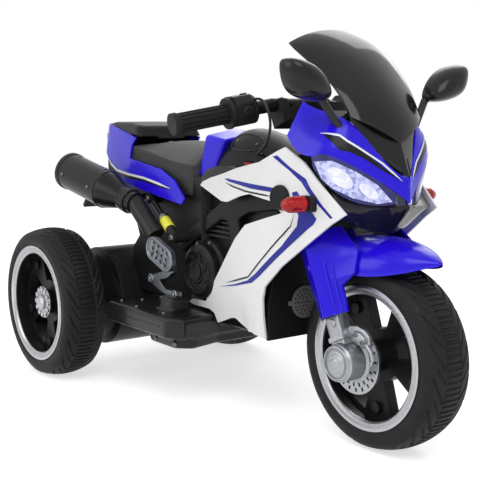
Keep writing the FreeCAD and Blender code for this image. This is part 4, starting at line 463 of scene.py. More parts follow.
for name, width in ROLLED.items():
    thing = own_copy(name, "_rolled", crown_top if name == "tank_pad" else None)
    roll = thing.modifiers.new("roll", "BEVEL")
    roll.width, roll.segments = width, 3
    roll.limit_method, roll.angle_limit = "ANGLE", radians(32)
    roll.miter_outer = "MITER_ARC"
    sharpen(thing, 50)
for thing, fine, rounds in ((own_copy("backrest", "_pad", raise_front), 0.0022, 60),
                            (own_copy("floor_pan", "_eased"), 0.0026, 24)):
    grid = thing.modifiers.new("even", "REMESH")
    grid.mode, grid.voxel_size, grid.use_smooth_shade = "VOXEL", fine, True
    ease = thing.modifiers.new("ease", "SMOOTH")
    ease.factor, ease.iterations = 0.5, rounds
sharpen(own_copy("chin_panel", "_tucked", tuck_sides), 40)


# Tyres with a ribbed middle band and slanted shoulder grooves

TYRE_BEAD, TYRE_WALL, TYRE_EDGE, TYRE_TOP = (0.04, 0.112), (0.043, 0.126), (0.037, 0.138), (0, 0.145)
WALL_FROM, RING_FROM, RING_TO, RING_RISE = 0.038, 0.1165, 0.1185, 0.0008
RIB_COUNT, RIB_STEPS, RIB_SHARE = 96, 8, 0.42
RIB_HALF, RIB_DEPTH, CHANNEL_HALF, CHANNEL_DEPTH = 0.0145, 0.0022, 0.0165, 0.0012
SHOULDER_COUNT, SHOULDER_IN, SHOULDER_OUT, SHOULDER_RUN = 18, 0.0185, 0.0385, 0.02
# Shoulder grooves: place in the pitch, depth, share of the full width, share of the shoulder that they cross
GROOVES = [(0.3, 0.0026, 1.0, 1.0), (0.72, 0.0021, 0.7, 0.62)]


def arc_through(first, middle, last, count):
    """Points along the circle through three (y, r) places."""
    a, b, c = (complex(*place) for place in (first, middle, last))
    skew = (c - a) / (b - a)
    centre = a + (b - a) * (skew - abs(skew) ** 2) / (2j * skew.imag)
    turn = cmath.phase((c - centre) / (a - centre))
    spots = [centre + (a - centre) * cmath.exp(1j * turn * step / count) for step in range(count + 1)]
    return [(spot.real, spot.imag) for spot in spots]


def tyre_profile():
    side = arc_through(TYRE_BEAD, TYRE_WALL, TYRE_EDGE, 12)
    crown = arc_through(TYRE_EDGE, TYRE_TOP, (-TYRE_EDGE[0], TYRE_EDGE[1]), 44)
    return side + crown[1:-1] + [(-y, r) for y, r in reversed(side)]


def tread_depth(y, turn):
    """How deep the tread is cut at a place across and round the tyre."""
    out = abs(y)
    if out < RIB_HALF:
        return RIB_DEPTH if (turn * RIB_COUNT / (2 * pi)) % 1 < RIB_SHARE else 0.0
    if out < CHANNEL_HALF:
        return CHANNEL_DEPTH
    if SHOULDER_IN < out < SHOULDER_OUT:
        reach = (out - SHOULDER_IN) / SHOULDER_RUN
        swing = 0.55 * reach + 0.25 * reach * reach
        spot = (turn * SHOULDER_COUNT / (2 * pi) + swing) % 1
        for place, depth, share, limit in GROOVES:
            width = 0.1 * (1 - 0.5 * reach) * share
            if reach < limit and abs(spot - place) < width:
                return depth * (1 - (abs(spot - place) / width) ** 2) ** 0.5
    return 0.0


def make_tyre(label, centre):
    profile = tyre_profile()
    columns = RIB_COUNT * RIB_STEPS
    verts = []
    for column in range(columns):
        turn = 2 * pi * column / columns
        for y, radius in profile:
            cut = radius - tread_depth(y, turn)
            swell = RING_RISE if abs(y) > WALL_FROM and RING_FROM < radius < RING_TO else 0.0
            wide = y + copysign(swell, y)
            verts.append(centre + Vector((cut * sin(turn), wide, cut * cos(turn))))
    faces = net_faces(columns, len(profile), wrapped=True)
    tyre = new_piece(label + "_tyre_tread", verts, faces, "tyre_black", label + "_wheel")
    sharpen(tyre, 40)
    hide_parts(label + "_tyre")


for label, centre in WHEELS.items():
    make_tyre(label, centre)


# Built-up details: small solids gathered into one piece

# A screw's profile as shares of its head's radius: along its axis, and out from it
SCREW_SHARES = [(-0.3, 1), (0.3, 1), (0.55, 0.82), (0.6, 0.5), (0.2, 0.42), (0.2, 0.05)]


class Batch:
    """Gathers turned, swept and raised shapes into one mesh piece."""

    def __init__(self):
        self.verts, self.faces = [], []

    def add(self, verts, faces):
        start = len(self.verts)
        self.verts += [Vector(vert) for vert in verts]
        self.faces += [tuple(start + index for index in face) for face in faces]

    def skin(self, rings, closed=False):
        """Cover rings of points: a tube with flat ends, or one that closes on itself."""
        total, count = len(rings), len(rings[0])
        faces = net_faces(total, count, wrapped=True) if closed else tube_faces(total, count)
        self.add([spot for ring in rings for spot in ring], faces)

    def turned(self, profile, place, axis, count=36):
        """Turn (along, radius) pairs about an axis through a place."""
        place, aim = Vector(place), Vector(axis).normalized()
        side = aim.orthogonal().normalized()
        other = aim.cross(side)
        self.skin([ring_of(place + aim * along, side, other, radius, count) for along, radius in profile])

    def plate(self, outline, place, right, up, thick, soft):
        """A flat shape raised from a face towards right x up, with softened edges."""
        slab = bmesh.new()
        base = slab.faces.new([slab.verts.new(place + right * x + up * y) for x, y in outline])
        raised = bmesh.ops.extrude_face_region(slab, geom=[base])["geom"]
        top = [part for part in raised if isinstance(part, bmesh.types.BMVert)]
        bmesh.ops.translate(slab, verts=top, vec=right.cross(up) * thick)
        edges = list({edge for vert in top for edge in vert.link_edges})
        bmesh.ops.bevel(slab, geom=edges, offset=soft, segments=3, profile=0.5, affect="EDGES")
        slab.verts.index_update()
        faces = [[vert.index for vert in face.verts] for face in slab.faces]
        self.add([vert.co for vert in slab.verts], faces)
        slab.free()

    def swept(self, points, radius, closed=False, count=10):
        """A round bead along a run of points."""
        total, rings = len(points), []
        guide = Vector((0.31, 0.87, 0.39))
        for index, point in enumerate(points):
            before = points[index - 1] if closed or index else point
            after = points[(index + 1) % total] if closed or index < total - 1 else point
            aim = (after - before).normalized()
            side = aim.cross(guide).normalized()
            rings.append(ring_of(point, side, aim.cross(side), radius, count))
        self.skin(rings, closed)

    def screw(self, place, axis, radius):
        """A round head with a sunk socket."""
        self.turned([(along * radius, out * radius) for along, out in SCREW_SHARES], place, axis, 18)

    def both_sides(self):
        """Add the same shapes on the other side of the machine."""
        self.add(mirrored(self.verts), [tuple(reversed(face)) for face in self.faces])
        return self

    def piece(self, name, material, body="chassis", angle=35):
        thing = new_piece(name, self.verts, self.faces, material, body)
        sharpen(thing, angle)
        return thing


# Seat: a crowned pad with a firm edge between its top and its flanks

SEAT_REAR, SEAT_FRONT = -0.2895, -0.0627
# Stations from rear to front: share of the length, half width, heights of the crest, the edge and the skirt
SEAT_STATIONS = [
    (0.0, 0.066, 0.452, 0.449, 0.3925), (0.04, 0.0735, 0.453, 0.449, 0.3925),
    (0.14, 0.077, 0.4535, 0.4475, 0.3925), (0.28, 0.0787, 0.458, 0.4435, 0.3925),
    (0.48, 0.0794, 0.4615, 0.4355, 0.39), (0.66, 0.0798, 0.4615, 0.4275, 0.379),
    (0.82, 0.0798, 0.4595, 0.4232, 0.368), (0.95, 0.0785, 0.456, 0.4212, 0.364),
    (1.0, 0.0715, 0.4505, 0.419, 0.365),
]
SEAT_CROWN = [(0.985, 1.0), (0.8, 0.62), (0.55, 0.28), (0.28, 0.07), (0.0, 0.0)]
FULL_FLANK, RIM_CREASE, SKIRT_CREASE, END_CREASE = 0.03, 0.94, 0.9, 0.55
# Where a station's points pass from the flank to the top
SEAT_RIM = 3
SEAT_SCREW = mm([(-6, 6.2), (0.8, 6.2), (1.2, 5.6), (0.8, 5), (-1.5, 4.6), (-1.5, 0.1)])


def make_seat():
    verts = []
    for share, half, top, edge, skirt in SEAT_STATIONS:
        x = SEAT_REAR + (SEAT_FRONT - SEAT_REAR) * share
        sunk = min(1.0, (edge - skirt) / FULL_FLANK)
        right = [(half * 0.965, skirt), (half * 0.99, skirt + 0.006 * sunk), (half, edge - 0.007 * sunk)]
        right += [(half * out, top + (edge - top) * drop) for out, drop in SEAT_CROWN]
        verts += [(x, -out, z) for out, z in right] + [(x, out, z) for out, z in reversed(right[:-1])]
    stations = len(SEAT_STATIONS)
    row = len(verts) // stations
    far_rim = row - 1 - SEAT_RIM
    seat = new_piece("seat_pad", verts, tube_faces(stations, row), "seat_grey")
    firm = seat.data.attributes.new("crease_edge", "FLOAT", "EDGE")
    for edge in seat.data.edges:
        steps = {vert % row for vert in edge.vertices}
        ends = {vert // row for vert in edge.vertices}
        for marks, lines, crease in ((steps, {SEAT_RIM, far_rim}, RIM_CREASE),
                                     (steps, {0, row - 1}, SKIRT_CREASE),
                                     (ends, {0, stations - 1}, END_CREASE)):
            if len(marks) == 1 and marks <= lines:
                firm.data[edge.index].value = crease
    # Faces on the flanks and skirt take the darker copy of the grey, as painted shade.
    seat.data.materials.append(MATERIALS["seat_side"])
    for face in seat.data.polygons:
        steps = {vert % row for vert in face.vertices}
        if max(steps) <= SEAT_RIM or min(steps) >= far_rim:
            face.material_index = 1
    rounded(seat)
    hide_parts("seat_cushion")


def make_seat_screws():
    """Two sunk screws that hold the seat near its rear end."""
    holes = Batch()
    for y in (-0.013, 0.013):
        holes.turned(SEAT_SCREW, (-0.228, y, 0.4565), (0.05, 0, 1), 28)
    holes.piece("seat_screws", "screw_dark")


make_seat()
make_seat_screws()


# Throttle cable: one smooth lead

CABLE_ROUTE = mm([
    (147, -101, 533), (169, -102, 539), (190, -102, 522), (196, -100, 494), (182, -96, 468),
    (155, -90, 452), (128, -77.5, 444), (112, -51, 445)])
CABLE_RADIUS = 0.0022


def cable_line():
    """Points read from the smooth curve that the route's places steer."""
    curve = bpy.data.curves.new("cable_line", "CURVE")
    curve.dimensions = "3D"
    line = curve.splines.new("NURBS")
    line.points.add(len(CABLE_ROUTE) - 1)
    for point, place in zip(line.points, CABLE_ROUTE):
        point.co = (*place, 1)
    line.order_u = 3
    line.use_endpoint_u = True
    curve.resolution_u = 10
    holder = add_to_scene("cable_curve", curve)
    bpy.context.view_layer.update()
    mesh = bpy.data.meshes.new_from_object(holder.evaluated_get(bpy.context.evaluated_depsgraph_get()))
    points = [vert.co.copy() for vert in mesh.vertices]
    bpy.data.objects.remove(holder)
    bpy.data.meshes.remove(mesh)
    return points


def make_cable():
    points = cable_line()
    lead = Batch()
    lead.swept(points, CABLE_RADIUS, count=14)
    cable = lead.piece("throttle_lead", "dark_grey", None)
    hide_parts("throttle_cable")
    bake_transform(cable)


make_cable()


# Silencer: end bands, neck clamp, tail pipe and its screws

SILENCER_END, SILENCER_NECK = Vector((-0.386, -0.154, 0.398)), Vector((-0.18, -0.124, 0.345))
SILENCER_FACING = Vector((0.232, -0.888, 0.399))
# Bands: start along the silencer, length, radius of the tube inside
SILENCER_BANDS = mm([(0, 10, 36.2), (121, 7, 36.2), (186, 16, 22.6)])
TAIL_PIPE = mm([(6, 0.1), (6, 12.5), (-0.5, 12.5), (-1.5, 13.5), (-1.5, 15.5), (-0.5, 16.5), (6, 16.5)])
TUBE_TURNS, CAP_TURNS = (22, 112, 202, 292), (40, 160, 280)


def band(long, inner, edge, outer, soft):
    """The profile of a band with eased corners, to be turned."""
    return [(0, inner), (0, edge), (soft, outer), (long - soft, outer), (long, edge), (long, inner)]


def make_silencer_trim():
    aim = (SILENCER_NECK - SILENCER_END).normalized()
    side = (SILENCER_FACING - aim * SILENCER_FACING.dot(aim)).normalized()
    other = aim.cross(side)
    trim, heads = Batch(), Batch()
    for start, long, radius in SILENCER_BANDS:
        profile = band(long, radius - 0.002, radius + 0.0005, radius + 0.0014, 0.0012)
        trim.turned(profile, SILENCER_END + aim * start, aim, 64)
    trim.turned(TAIL_PIPE, SILENCER_END, aim, 48)
    trim.piece("silencer_bands", "exhaust_black")
    for along, off, head, turns in ((0.024, 0.036, 0.0036, TUBE_TURNS), (0.108, 0.036, 0.0036, TUBE_TURNS),
                                    (0.004, 0.0245, 0.0028, CAP_TURNS)):
        for turn in map(radians, turns):
            out = side * cos(turn) + other * sin(turn)
            heads.screw(SILENCER_END + aim * along + out * off, -aim if turns == CAP_TURNS else out, head)
    heads.piece("silencer_screws", "screw_dark")


make_silencer_trim()


# Struts: a bright yellow sleeve, a collar and the end bolts

STRUT_TOP, STRUT_FOOT = Vector((-0.185, -0.086, 0.352)), Vector((-0.062, -0.112, 0.292))


def make_strut_trim():
    run = STRUT_FOOT - STRUT_TOP
    sleeve, metalwork = Batch(), Batch()
    sleeve.turned(band(0.0318, 0.0086, 0.0094, 0.0099, 0.0008), STRUT_TOP + run * 0.56, run, 32)
    metalwork.turned(band(0.008, 0.006, 0.0102, 0.011, 0.0015), STRUT_TOP + run * 0.5, run, 32)
    for place in (STRUT_TOP, STRUT_FOOT):
        metalwork.screw(place + RIGHT_OUT * 0.009, RIGHT_OUT, 0.0062)
    sleeve.both_sides().piece("strut_sleeves", "yellow_sleeve")
    metalwork.both_sides().piece("strut_bolts", "screw_dark")


make_strut_trim()


# Foot pegs: bosses on the bracket's ends and a raised rim on the heel plate

PEG_FACE = -0.134
PEG_BOSSES = mm([(-111.5, 214.5, 8.5), (-51.5, 245.5, 7.5), (-32, 196.5, 7.5)])
# A boss's profile: height, and radius as a share of the boss's own
BOSS_SHARES = [(-0.004, 1), (0.0018, 1), (0.003, 0.88), (0.003, 0.66), (0.0016, 0.6), (0.0016, 0.48),
               (0.0042, 0.44), (0.0048, 0.3), (0.0048, 0.02)]
HEEL_PLATE, HEEL_HALF, HEEL_TILT = Vector((-0.07, -0.143, 0.264)), 0.022, radians(20)
# Rims on the heel plate: distance in from its edge, bead radius
HEEL_RIMS = mm([(1.6, 1.6), (5.6, 0.9)])


def make_peg_trim():
    trim = Batch()
    for x, z, radius in PEG_BOSSES:
        profile = [(along, radius * share) for along, share in BOSS_SHARES]
        trim.turned(profile, (x, PEG_FACE, z), RIGHT_OUT, 32)
    along = Vector((cos(HEEL_TILT), 0, -sin(HEEL_TILT)))
    across = Vector((sin(HEEL_TILT), 0, cos(HEEL_TILT)))
    for inset, radius in HEEL_RIMS:
        bend, loop = HEEL_HALF - inset, []
        for end in (1, -1):
            for turn in [pi * (step / 18 - end / 2) for step in range(19)]:
                ahead = end * HEEL_HALF + bend * cos(turn)
                loop.append(HEEL_PLATE + along * ahead + across * (bend * sin(turn)))
        trim.swept(loop, radius, closed=True)
    trim.both_sides().piece("peg_bosses", "peg_grey")


make_peg_trim()


# Engine covers: swirl ribs, lug bolts, a stepped rim and cooling fins behind

CLUTCH, LUG_CIRCLE, BLADES = Vector((-0.005, -0.072, 0.238)), 0.0515, 7
CLUTCH_FACE, CLUTCH_MIDDLE = CLUTCH + RIGHT_OUT * 0.0337, CLUTCH + RIGHT_OUT * 0.036
COVER_RIM = mm([(0, 38.5), (1.2, 38.8), (1.8, 37.5), (1.2, 36.2), (0, 36)])
COVER_CAP = mm([(1.8, 0.1), (1.8, 12.5), (2.8, 13), (3.4, 14.5), (2.8, 16), (0.5, 16.5)])
LUG = mm([(0, 6.2), (14.5, 6.2), (15.2, 5.5), (15.2, 0.1)])
FIN_COUNT, FIN_LOW, FIN_PITCH, FIN_REAR, FIN_TALL = 6, 0.299, 0.0085, -0.016, 0.0038


def make_engine_trim():
    cover, bolts, fins = Batch(), Batch(), Batch()
    for blade in range(BLADES):
        start = 2 * pi * blade / BLADES
        inner = [(0.0225 + 0.0145 * step / 6, start + 0.62 * (step / 6) ** 1.3) for step in range(7)]
        outer = [(radius, turn + 0.26 + 0.12 * step / 6) for step, (radius, turn) in enumerate(inner)]
        outline = [polar(*corner) for corner in inner + outer[::-1]]
        cover.plate(outline, CLUTCH_FACE, X_AXIS, Z_AXIS, 0.0022, 0.0007)
    cover.turned(COVER_RIM, CLUTCH_FACE, RIGHT_OUT, 72)
    cover.turned(COVER_CAP, CLUTCH_MIDDLE, RIGHT_OUT, 48)
    for turn in map(radians, (75, 120, 165, 210, 255, 300)):
        x, z = polar(LUG_CIRCLE, turn)
        spot = CLUTCH + X_AXIS * x + Z_AXIS * z
        cover.turned(LUG, spot, RIGHT_OUT, 20)
        bolts.screw(spot + RIGHT_OUT * 0.0155, RIGHT_OUT, 0.0034)
    for layer in range(FIN_COUNT):
        front = 0.062 + 0.004 * layer
        outline = [(FIN_REAR, 0), (front, 0), (front, FIN_TALL), (FIN_REAR, FIN_TALL)]
        place = Vector((0, CLUTCH.y, FIN_LOW + FIN_PITCH * layer))
        fins.plate(outline, place, X_AXIS, Z_AXIS, 0.0085, 0.0012)
    cover.both_sides().piece("clutch_ribs", "black_satin")
    bolts.both_sides().piece("clutch_bolts", "screw_dark")
    fins.both_sides().piece("engine_fins", "dark_grey")


make_engine_trim()


# Fairing: round plugs behind the signals, and square roots that the signals stand on

FAIRING = tree_of("side_fairing_right")
SIGNAL = Vector((0.299, -0.119, 0.38))
PLUG = mm([(-3, 19.5), (4, 19.5), (6.2, 18.2), (6.8, 16.5), (5.8, 15.2), (6.2, 0.1)])
SIGNAL_ROOT = mm([(-10, -12), (12, -12), (14, -9), (14, 10), (11, 12), (-10, 12)])


def make_fairing_trim():
    trim = Batch()
    place, normal = beside(FAIRING, 0.239, 0.385)
    trim.turned(PLUG, place, normal, 48)
    seat, _ = beside(FAIRING, SIGNAL.x, SIGNAL.z)
    depth = seat.y - SIGNAL.y + 0.0015
    sunk = Vector((SIGNAL.x, seat.y + 0.002, SIGNAL.z))
    trim.plate(SIGNAL_ROOT, sunk, X_AXIS, Z_AXIS, depth, 0.0018)
    trim.both_sides().piece("fairing_plugs", "black_satin")


make_fairing_trim()


# A ribbed lip that stands up from each white fairing's top edge and leans in to the tank,
# and the rim of the plate in each of the tank's shoulders

LIP_REAR, LIP_FRONT, LIP_STEPS = -0.05, 0.102, 28
LIP_TALL, LIP_TAPER, LIP_LEAN = 0.024, 0.85, 0.45
PLATE_RIM = mm([
    (22, 460), (30, 452.5), (50, 449.5), (75, 449.5), (96, 452.5), (104.5, 459), (92, 467), (74, 473.5),
    (52, 477), (33, 475.5), (22, 469)])
PLATE_SCREWS = mm([(34, 466), (86, 460.5)])


def make_ribbed_lip():
    skin = NODES["side_fairing_right"].data
    sides = [[skin.vertices[index].co for index in edge.vertices] for edge in skin.edges]
    lip, rows = Batch(), []
    for step in range(LIP_STEPS + 1):
        share = step / LIP_STEPS
        x = LIP_REAR + (LIP_FRONT - LIP_REAR) * share
        crossed = [a.lerp(b, (x - a.x) / (b.x - a.x)) for a, b in sides if (a.x - x) * (b.x - x) < 0]
        top = max(crossed, key=lambda place: place.z)
        tall = LIP_TALL * (1 - LIP_TAPER * share ** 3)
        foot = Vector((x, top.y + 0.0015, top.z - 0.003))
        shoulder = foot + Vector((0, tall * LIP_LEAN * 0.35, tall * 0.75))
        crest = foot + Vector((0, tall * LIP_LEAN, tall))
        rows.append((foot, shoulder, crest, crest + Vector((0, tall * 1.3, 0.001))))
    lip.add([place for row in rows for place in row], net_faces(len(rows), len(rows[0]), around=False))
    for row in rows:
        lip.swept(row[:3], 0.0016)
    lip.both_sides().piece("ribbed_lips", "lip_grey")


def make_tank_plate():
    tank, rim, screws, loop = tree_of("tank_cover"), Batch(), Batch(), []
    for index in range(len(PLATE_RIM)):
        a, b, c, d = (Vector(PLATE_RIM[(index + shift) % len(PLATE_RIM)]) for shift in (-1, 0, 1, 2))
        for t in [part / 6 for part in range(6)]:
            spot = (2 * b + (c - a) * t + (2 * a - 5 * b + 4 * c - d) * t ** 2
                    + (3 * b - a - 3 * c + d) * t ** 3) / 2
            loop.append(beside(tank, spot.x, spot.y)[0])
    rim.swept(loop, 0.0015, closed=True)
    rim.both_sides().piece("tank_plate_rims", "dark_grey")
    for x, z in PLATE_SCREWS:
        screws.screw(*beside(tank, x, z), 0.0026)
    screws.both_sides().piece("tank_plate_screws", "screw_dark")


make_ribbed_lip()
make_tank_plate()


# Mirrors: rounded shells with the glass let into the rear face

MIRROR_PIVOT, MIRROR_MIDDLE = Vector((0.3295, -0.11, 0.5365)), Vector((0.037, 0.0235))
MIRROR_RIM = mm([
    (-7, -5), (17, -7), (39, -3), (59, 4), (71, 21), (75.5, 48.5), (67, 54.5), (47, 52.5), (27, 45.5),
    (6, 29), (-5, 10)])
# Rings of the shell and of the glass: place forward of the pivot, share of the rim's size
MIRROR_LOOPS = [(-0.0105, 0.3), (-0.0105, 0.9), (-0.0125, 0.95), (-0.011, 1.0), (0.004, 1.02),
                (0.016, 0.93), (0.025, 0.72), (0.03, 0.4), (0.031, 0.12)]
GLASS_LOOPS = [(-0.0102, 0.9), (-0.0112, 0.89), (-0.0114, 0.86), (-0.0118, 0.4)]


def mirror_rings(loops):
    """All points of the right-hand shell's or glass's rings."""
    points = []
    for fore, share in loops:
        spots = [MIRROR_MIDDLE + (Vector(spot) - MIRROR_MIDDLE) * share for spot in MIRROR_RIM]
        points += [MIRROR_PIVOT + X_AXIS * fore + RIGHT_OUT * spot.x + Z_AXIS * spot.y for spot in spots]
    return points


def make_mirrors():
    count, panes = len(MIRROR_RIM), len(GLASS_LOOPS)
    verts, pane = mirror_rings(MIRROR_LOOPS), mirror_rings(GLASS_LOOPS)
    faces = tube_faces(len(MIRROR_LOOPS), count)
    pane_faces = net_faces(panes, count) + [tuple(range((panes - 1) * count, panes * count))]
    for label in ("right", "left"):
        body, node = "mirror_head_" + label, "mirror_" + label
        if label == "left":
            verts, pane = mirrored(verts), mirrored(pane)
        shell = new_piece(node + "_shell", verts, faces, "black_gloss", body)
        rounded(shell)
        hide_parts(node)
        sharpen(new_piece("mirror_glass_" + label, pane, pane_faces, "mirror_glass", body), 40)


make_mirrors()


# Fork: calipers, collars, hub rings and bolts on the legs, and ribs on their covers

FORK_FORE = Vector((cos(RAKE), 0, sin(RAKE)))
FORK_UP = Vector((-sin(RAKE), 0, cos(RAKE)))
CALIPER = mm([(13, 26), (24, 18), (40, 10), (50, 12), (53, 24), (46, 37), (34, 46), (20, 50), (13, 48)])
CALIPER_RIDGE = mm([(28, 19), (45, 14), (49, 24), (42, 34), (31, 40), (26, 32)])
CALIPER_HOOK = mm([(46, 71, 14), (53, 73, 2), (51, 72, -10), (42, 70, -16)])
COLLAR = mm([(-16.5, 62.5), (16.5, 62.5), (16.5, 86.2), (12.5, 87.6), (-12.5, 87.6), (-16.5, 86.2)])
COLLAR_STUD = mm([(-2, 6.2), (1.4, 6.2), (2.4, 5.4), (2.4, 3.4), (1.2, 3), (1.2, 0.1)])
HUB_RING = mm([(-1, 24.6), (1.2, 25.2), (1.2, 26.6), (-1, 27.2)])
HUB_CAP = mm([
    (-1, 19.6), (1.4, 19.2), (2.2, 18), (2.2, 14), (3.8, 13), (4.2, 8.5), (5.2, 7.6), (5.6, 6),
    (5.6, 0.1)])
HUB_GROOVE = mm([(-1, 22.6), (0.3, 22.6), (0.3, 21), (-1, 21)])
FORK_RIBS = [mm([(310, -90, 294), (318, -90, 273), (335, -90, 228)]),
             mm([(322, -86, 292), (333, -86, 259), (346, -83, 222)])]


def on_fork(fore, out, up):
    return FRONT_AXLE + FORK_FORE * fore + FORK_UP * up + RIGHT_OUT * out


def make_fork_trim():
    silver, bolts, ribs = Batch(), Batch(), Batch()
    hub = on_fork(0, 0.0975, 0)
    silver.plate(CALIPER, on_fork(0, 0.0625, 0), FORK_FORE, FORK_UP, 0.007, 0.0018)
    silver.plate(CALIPER_RIDGE, on_fork(0, 0.0695, 0), FORK_FORE, FORK_UP, 0.006, 0.002)
    silver.swept([on_fork(*place) for place in CALIPER_HOOK], 0.003)
    for fore, up in ((0.034, 0.033), (0.043, 0.019)):
        bolts.screw(on_fork(fore, 0.0755, up), RIGHT_OUT, 0.0036)
    silver.plate(COLLAR, on_fork(0, 0, 0.04), FORK_FORE, RIGHT_OUT, 0.0075, 0.0014)
    silver.turned(COLLAR_STUD, on_fork(0.001, 0.084, 0.06), RIGHT_OUT, 28)
    silver.turned(HUB_RING, hub, RIGHT_OUT, 64)
    silver.turned(HUB_CAP, hub, RIGHT_OUT, 64)
    bolts.turned(HUB_GROOVE, hub, RIGHT_OUT, 64)
    cover = tree_of("fork_covers")
    for line in FORK_RIBS:
        places = [cover.find_nearest(Vector(first).lerp(Vector(last), step / 8))[0]
                  for first, last in zip(line, line[1:]) for step in range(9)]
        ribs.swept(places[:9] + places[10:], 0.0024)
    ribs.both_sides().piece("fork_cover_ribs", "blue_gloss", "steering")
    silver.both_sides().piece("fork_calipers", "fork_silver", "steering")
    bolts.both_sides().piece("fork_bolts", "screw_dark", "steering")


make_fork_trim()


# Wheels: a knurled band on every bright ring, and a star on each rear hub cap

KNURL_COUNT, KNURL_ROWS = 150, 4
KNURL_IN, KNURL_WIDE, KNURL_RISE, KNURL_LIFT = 0.1008, 0.0068, 0.0011, 0.0001
REAR_RING = 0.042
PETALS = 12
# A petal's corners: distance from the hub's middle, swing from the petal's own direction
PETAL = [(0.0195, -0.16), (0.027, -0.2), (0.0305, 0), (0.027, 0.2), (0.0195, 0.16)]
STAR_MIDDLE = mm([(0, 16.5), (4, 10.5), (5.6, 2)])


def make_knurl(name, label, face):
    centre, verts = WHEELS[label], []
    for column in range(KNURL_COUNT * 2):
        turn = pi * column / KNURL_COUNT
        for row in range(KNURL_ROWS + 1):
            radius = KNURL_IN + KNURL_WIDE * row / KNURL_ROWS
            rise = KNURL_RISE if 0 < row < KNURL_ROWS and (column + row) % 2 else 0.0
            y = face + copysign(KNURL_LIFT + rise, face - centre.y)
            verts.append(Vector((centre.x + radius * sin(turn), y, centre.z + radius * cos(turn))))
    faces = net_faces(KNURL_COUNT * 2, KNURL_ROWS + 1, around=False, wrapped=True)
    new_piece(name, verts, faces, "silver_trim", label + "_wheel", smooth=False)


def make_hub_star(label):
    """A ring of petals and a cut middle on a rear hub cap."""
    star, centre = Batch(), WHEELS[label]
    for petal in range(PETALS):
        turn = 2 * pi * petal / PETALS
        outline = [polar(radius, turn + swing) for radius, swing in PETAL]
        star.plate(outline, centre + RIGHT_OUT * 0.0255, X_AXIS, Z_AXIS, 0.0032, 0.0011)
    star.turned(STAR_MIDDLE, centre + RIGHT_OUT * 0.0308, RIGHT_OUT, 8)
    if label == "left":
        star.verts = [Vector((vert.x, 2 * centre.y - vert.y, vert.z)) for vert in star.verts]
    star.piece(label + "_hub_star", "silver_trim", label + "_wheel", 12)


for label, side in (("right", 0), ("left", 1)):
    make_knurl("front_knurl_" + label, "front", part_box("front_trim")[side][1])
for label, out in (("right", -REAR_RING), ("left", REAR_RING)):
    make_knurl(label + "_knurl", label, WHEELS[label].y + out)
for label in ("right", "left"):
    make_hub_star(label)


# Handlebar: angular switch bodies on the drums, and clamp bolts

BAR_END, BAR_BEND = Vector((0.116, -0.228, 0.496)), Vector((0.145, -0.058, 0.526))
SWITCH_BODY = mm([
    (-21, -21), (16, -25), (26, -14), (27, 14), (17, 25.5), (-13, 25.5), (-25, 12), (-26, -12)])
SIDE_KNOB = mm([(0, 7.5), (4, 7.5), (5.2, 6), (5.2, 0.1)])
TOP_KNOB = mm([(0, 6), (2, 6), (3, 5), (3, 0.1)])


def make_bar_trim():
    aim = (BAR_BEND - BAR_END).normalized()
    up = (Z_AXIS - aim * aim.z).normalized()
    right = up.cross(aim)
    switches, bolts = Batch(), Batch()
    switches.plate(SWITCH_BODY, BAR_END + aim * 0.1005, right, up, 0.034, 0.0035)
    switches.turned(SIDE_KNOB, BAR_END + aim * 0.118 - right * 0.0245, -right, 24)
    switches.turned(TOP_KNOB, BAR_END + aim * 0.126 + up * 0.0245, up, 20)
    switches.both_sides().piece("switch_bodies", "black_satin", "steering")
    stem = tree_of("steering_stem")
    for out in (-0.045, 0.045):
        for fore in (-0.008, 0.008):
            bolts.screw(*on_top(stem, BAR_BEND.x + fore, out), 0.0042)
    bolts.piece("clamp_bolts", "screw_dark", "steering")


make_bar_trim()


# Footboards: visible screws, and a seam along each side

TOP_SCREWS = mm([(-150, -130), (-100, -172), (-20, -165), (-165, -165)])
SIDE_SCREWS = mm([(-40, 121), (20, 121)])


def make_body_screws():
    pan, screws, seam = tree_of("floor_pan"), Batch(), Batch()
    for x, y in TOP_SCREWS:
        screws.screw(*on_top(pan, x, y), 0.0038)
    for x, z in SIDE_SCREWS:
        screws.screw(*beside(pan, x, z), 0.0042)
    seam.swept([beside(pan, -0.19 + 0.01 * step, 0.151)[0] for step in range(20)], 0.0013)
    seam.both_sides().piece("footboard_seams", "black_gloss")
    screws.both_sides().piece("body_screws", "screw_dark")


make_body_screws()


# Printed stripes, and the lit lamps; two numbers are a place's (x, z), three its (x, y, z) on the right

NOSE_AIM = Vector((-0.797, 0.59, -0.129))
FAIRING_BAND = mm([
    (273, 397), (295, 375), (313, 358), (307, 349), (298, 343), (247, 303), (190, 258), (167, 243),
    (114, 230), (60, 220), (115, 233), (154, 245), (178, 260), (241, 310), (274, 344), (277, 360),
    (263, 394)])
FAIRING_UPPER = mm([
    (217, 447), (228, 449), (258, 432), (291, 416), (300, 403), (321, 381), (343, 362), (339, 360),
    (313, 381), (294, 398), (282, 411), (255, 428)])
FAIRING_TAPER = mm([(79, 405), (89, 406), (160, 402), (223, 399), (222, 392), (165, 394), (95, 401)])
FAIRING_LINES = [mm([(272, 362), (264, 342), (261, 340), (154, 250), (83, 230)]),
                 mm([(80, 400), (105, 395), (143, 390), (220, 386)])]
NOSE_BLACK = mm([
    (318, -101, 483), (340, -88, 479), (349, -80, 471), (365, -56, 453), (393, -10, 413), (378, -37, 430),
    (364, -64, 449), (354, -79, 457), (345, -91, 460)])
NOSE_WHITE = mm([
    (314, -102, 484), (340, -87, 481), (348, -80, 473), (365, -56, 455), (376, -35, 440), (392, -10, 414)])
TAIL_WHITE = mm([
    (-390, -67, 427), (-359, -74, 409), (-327, -79, 399), (-269, -87, 394), (-207, -89, 390),
    (-154, -91, 383), (-109, -93, 376)])
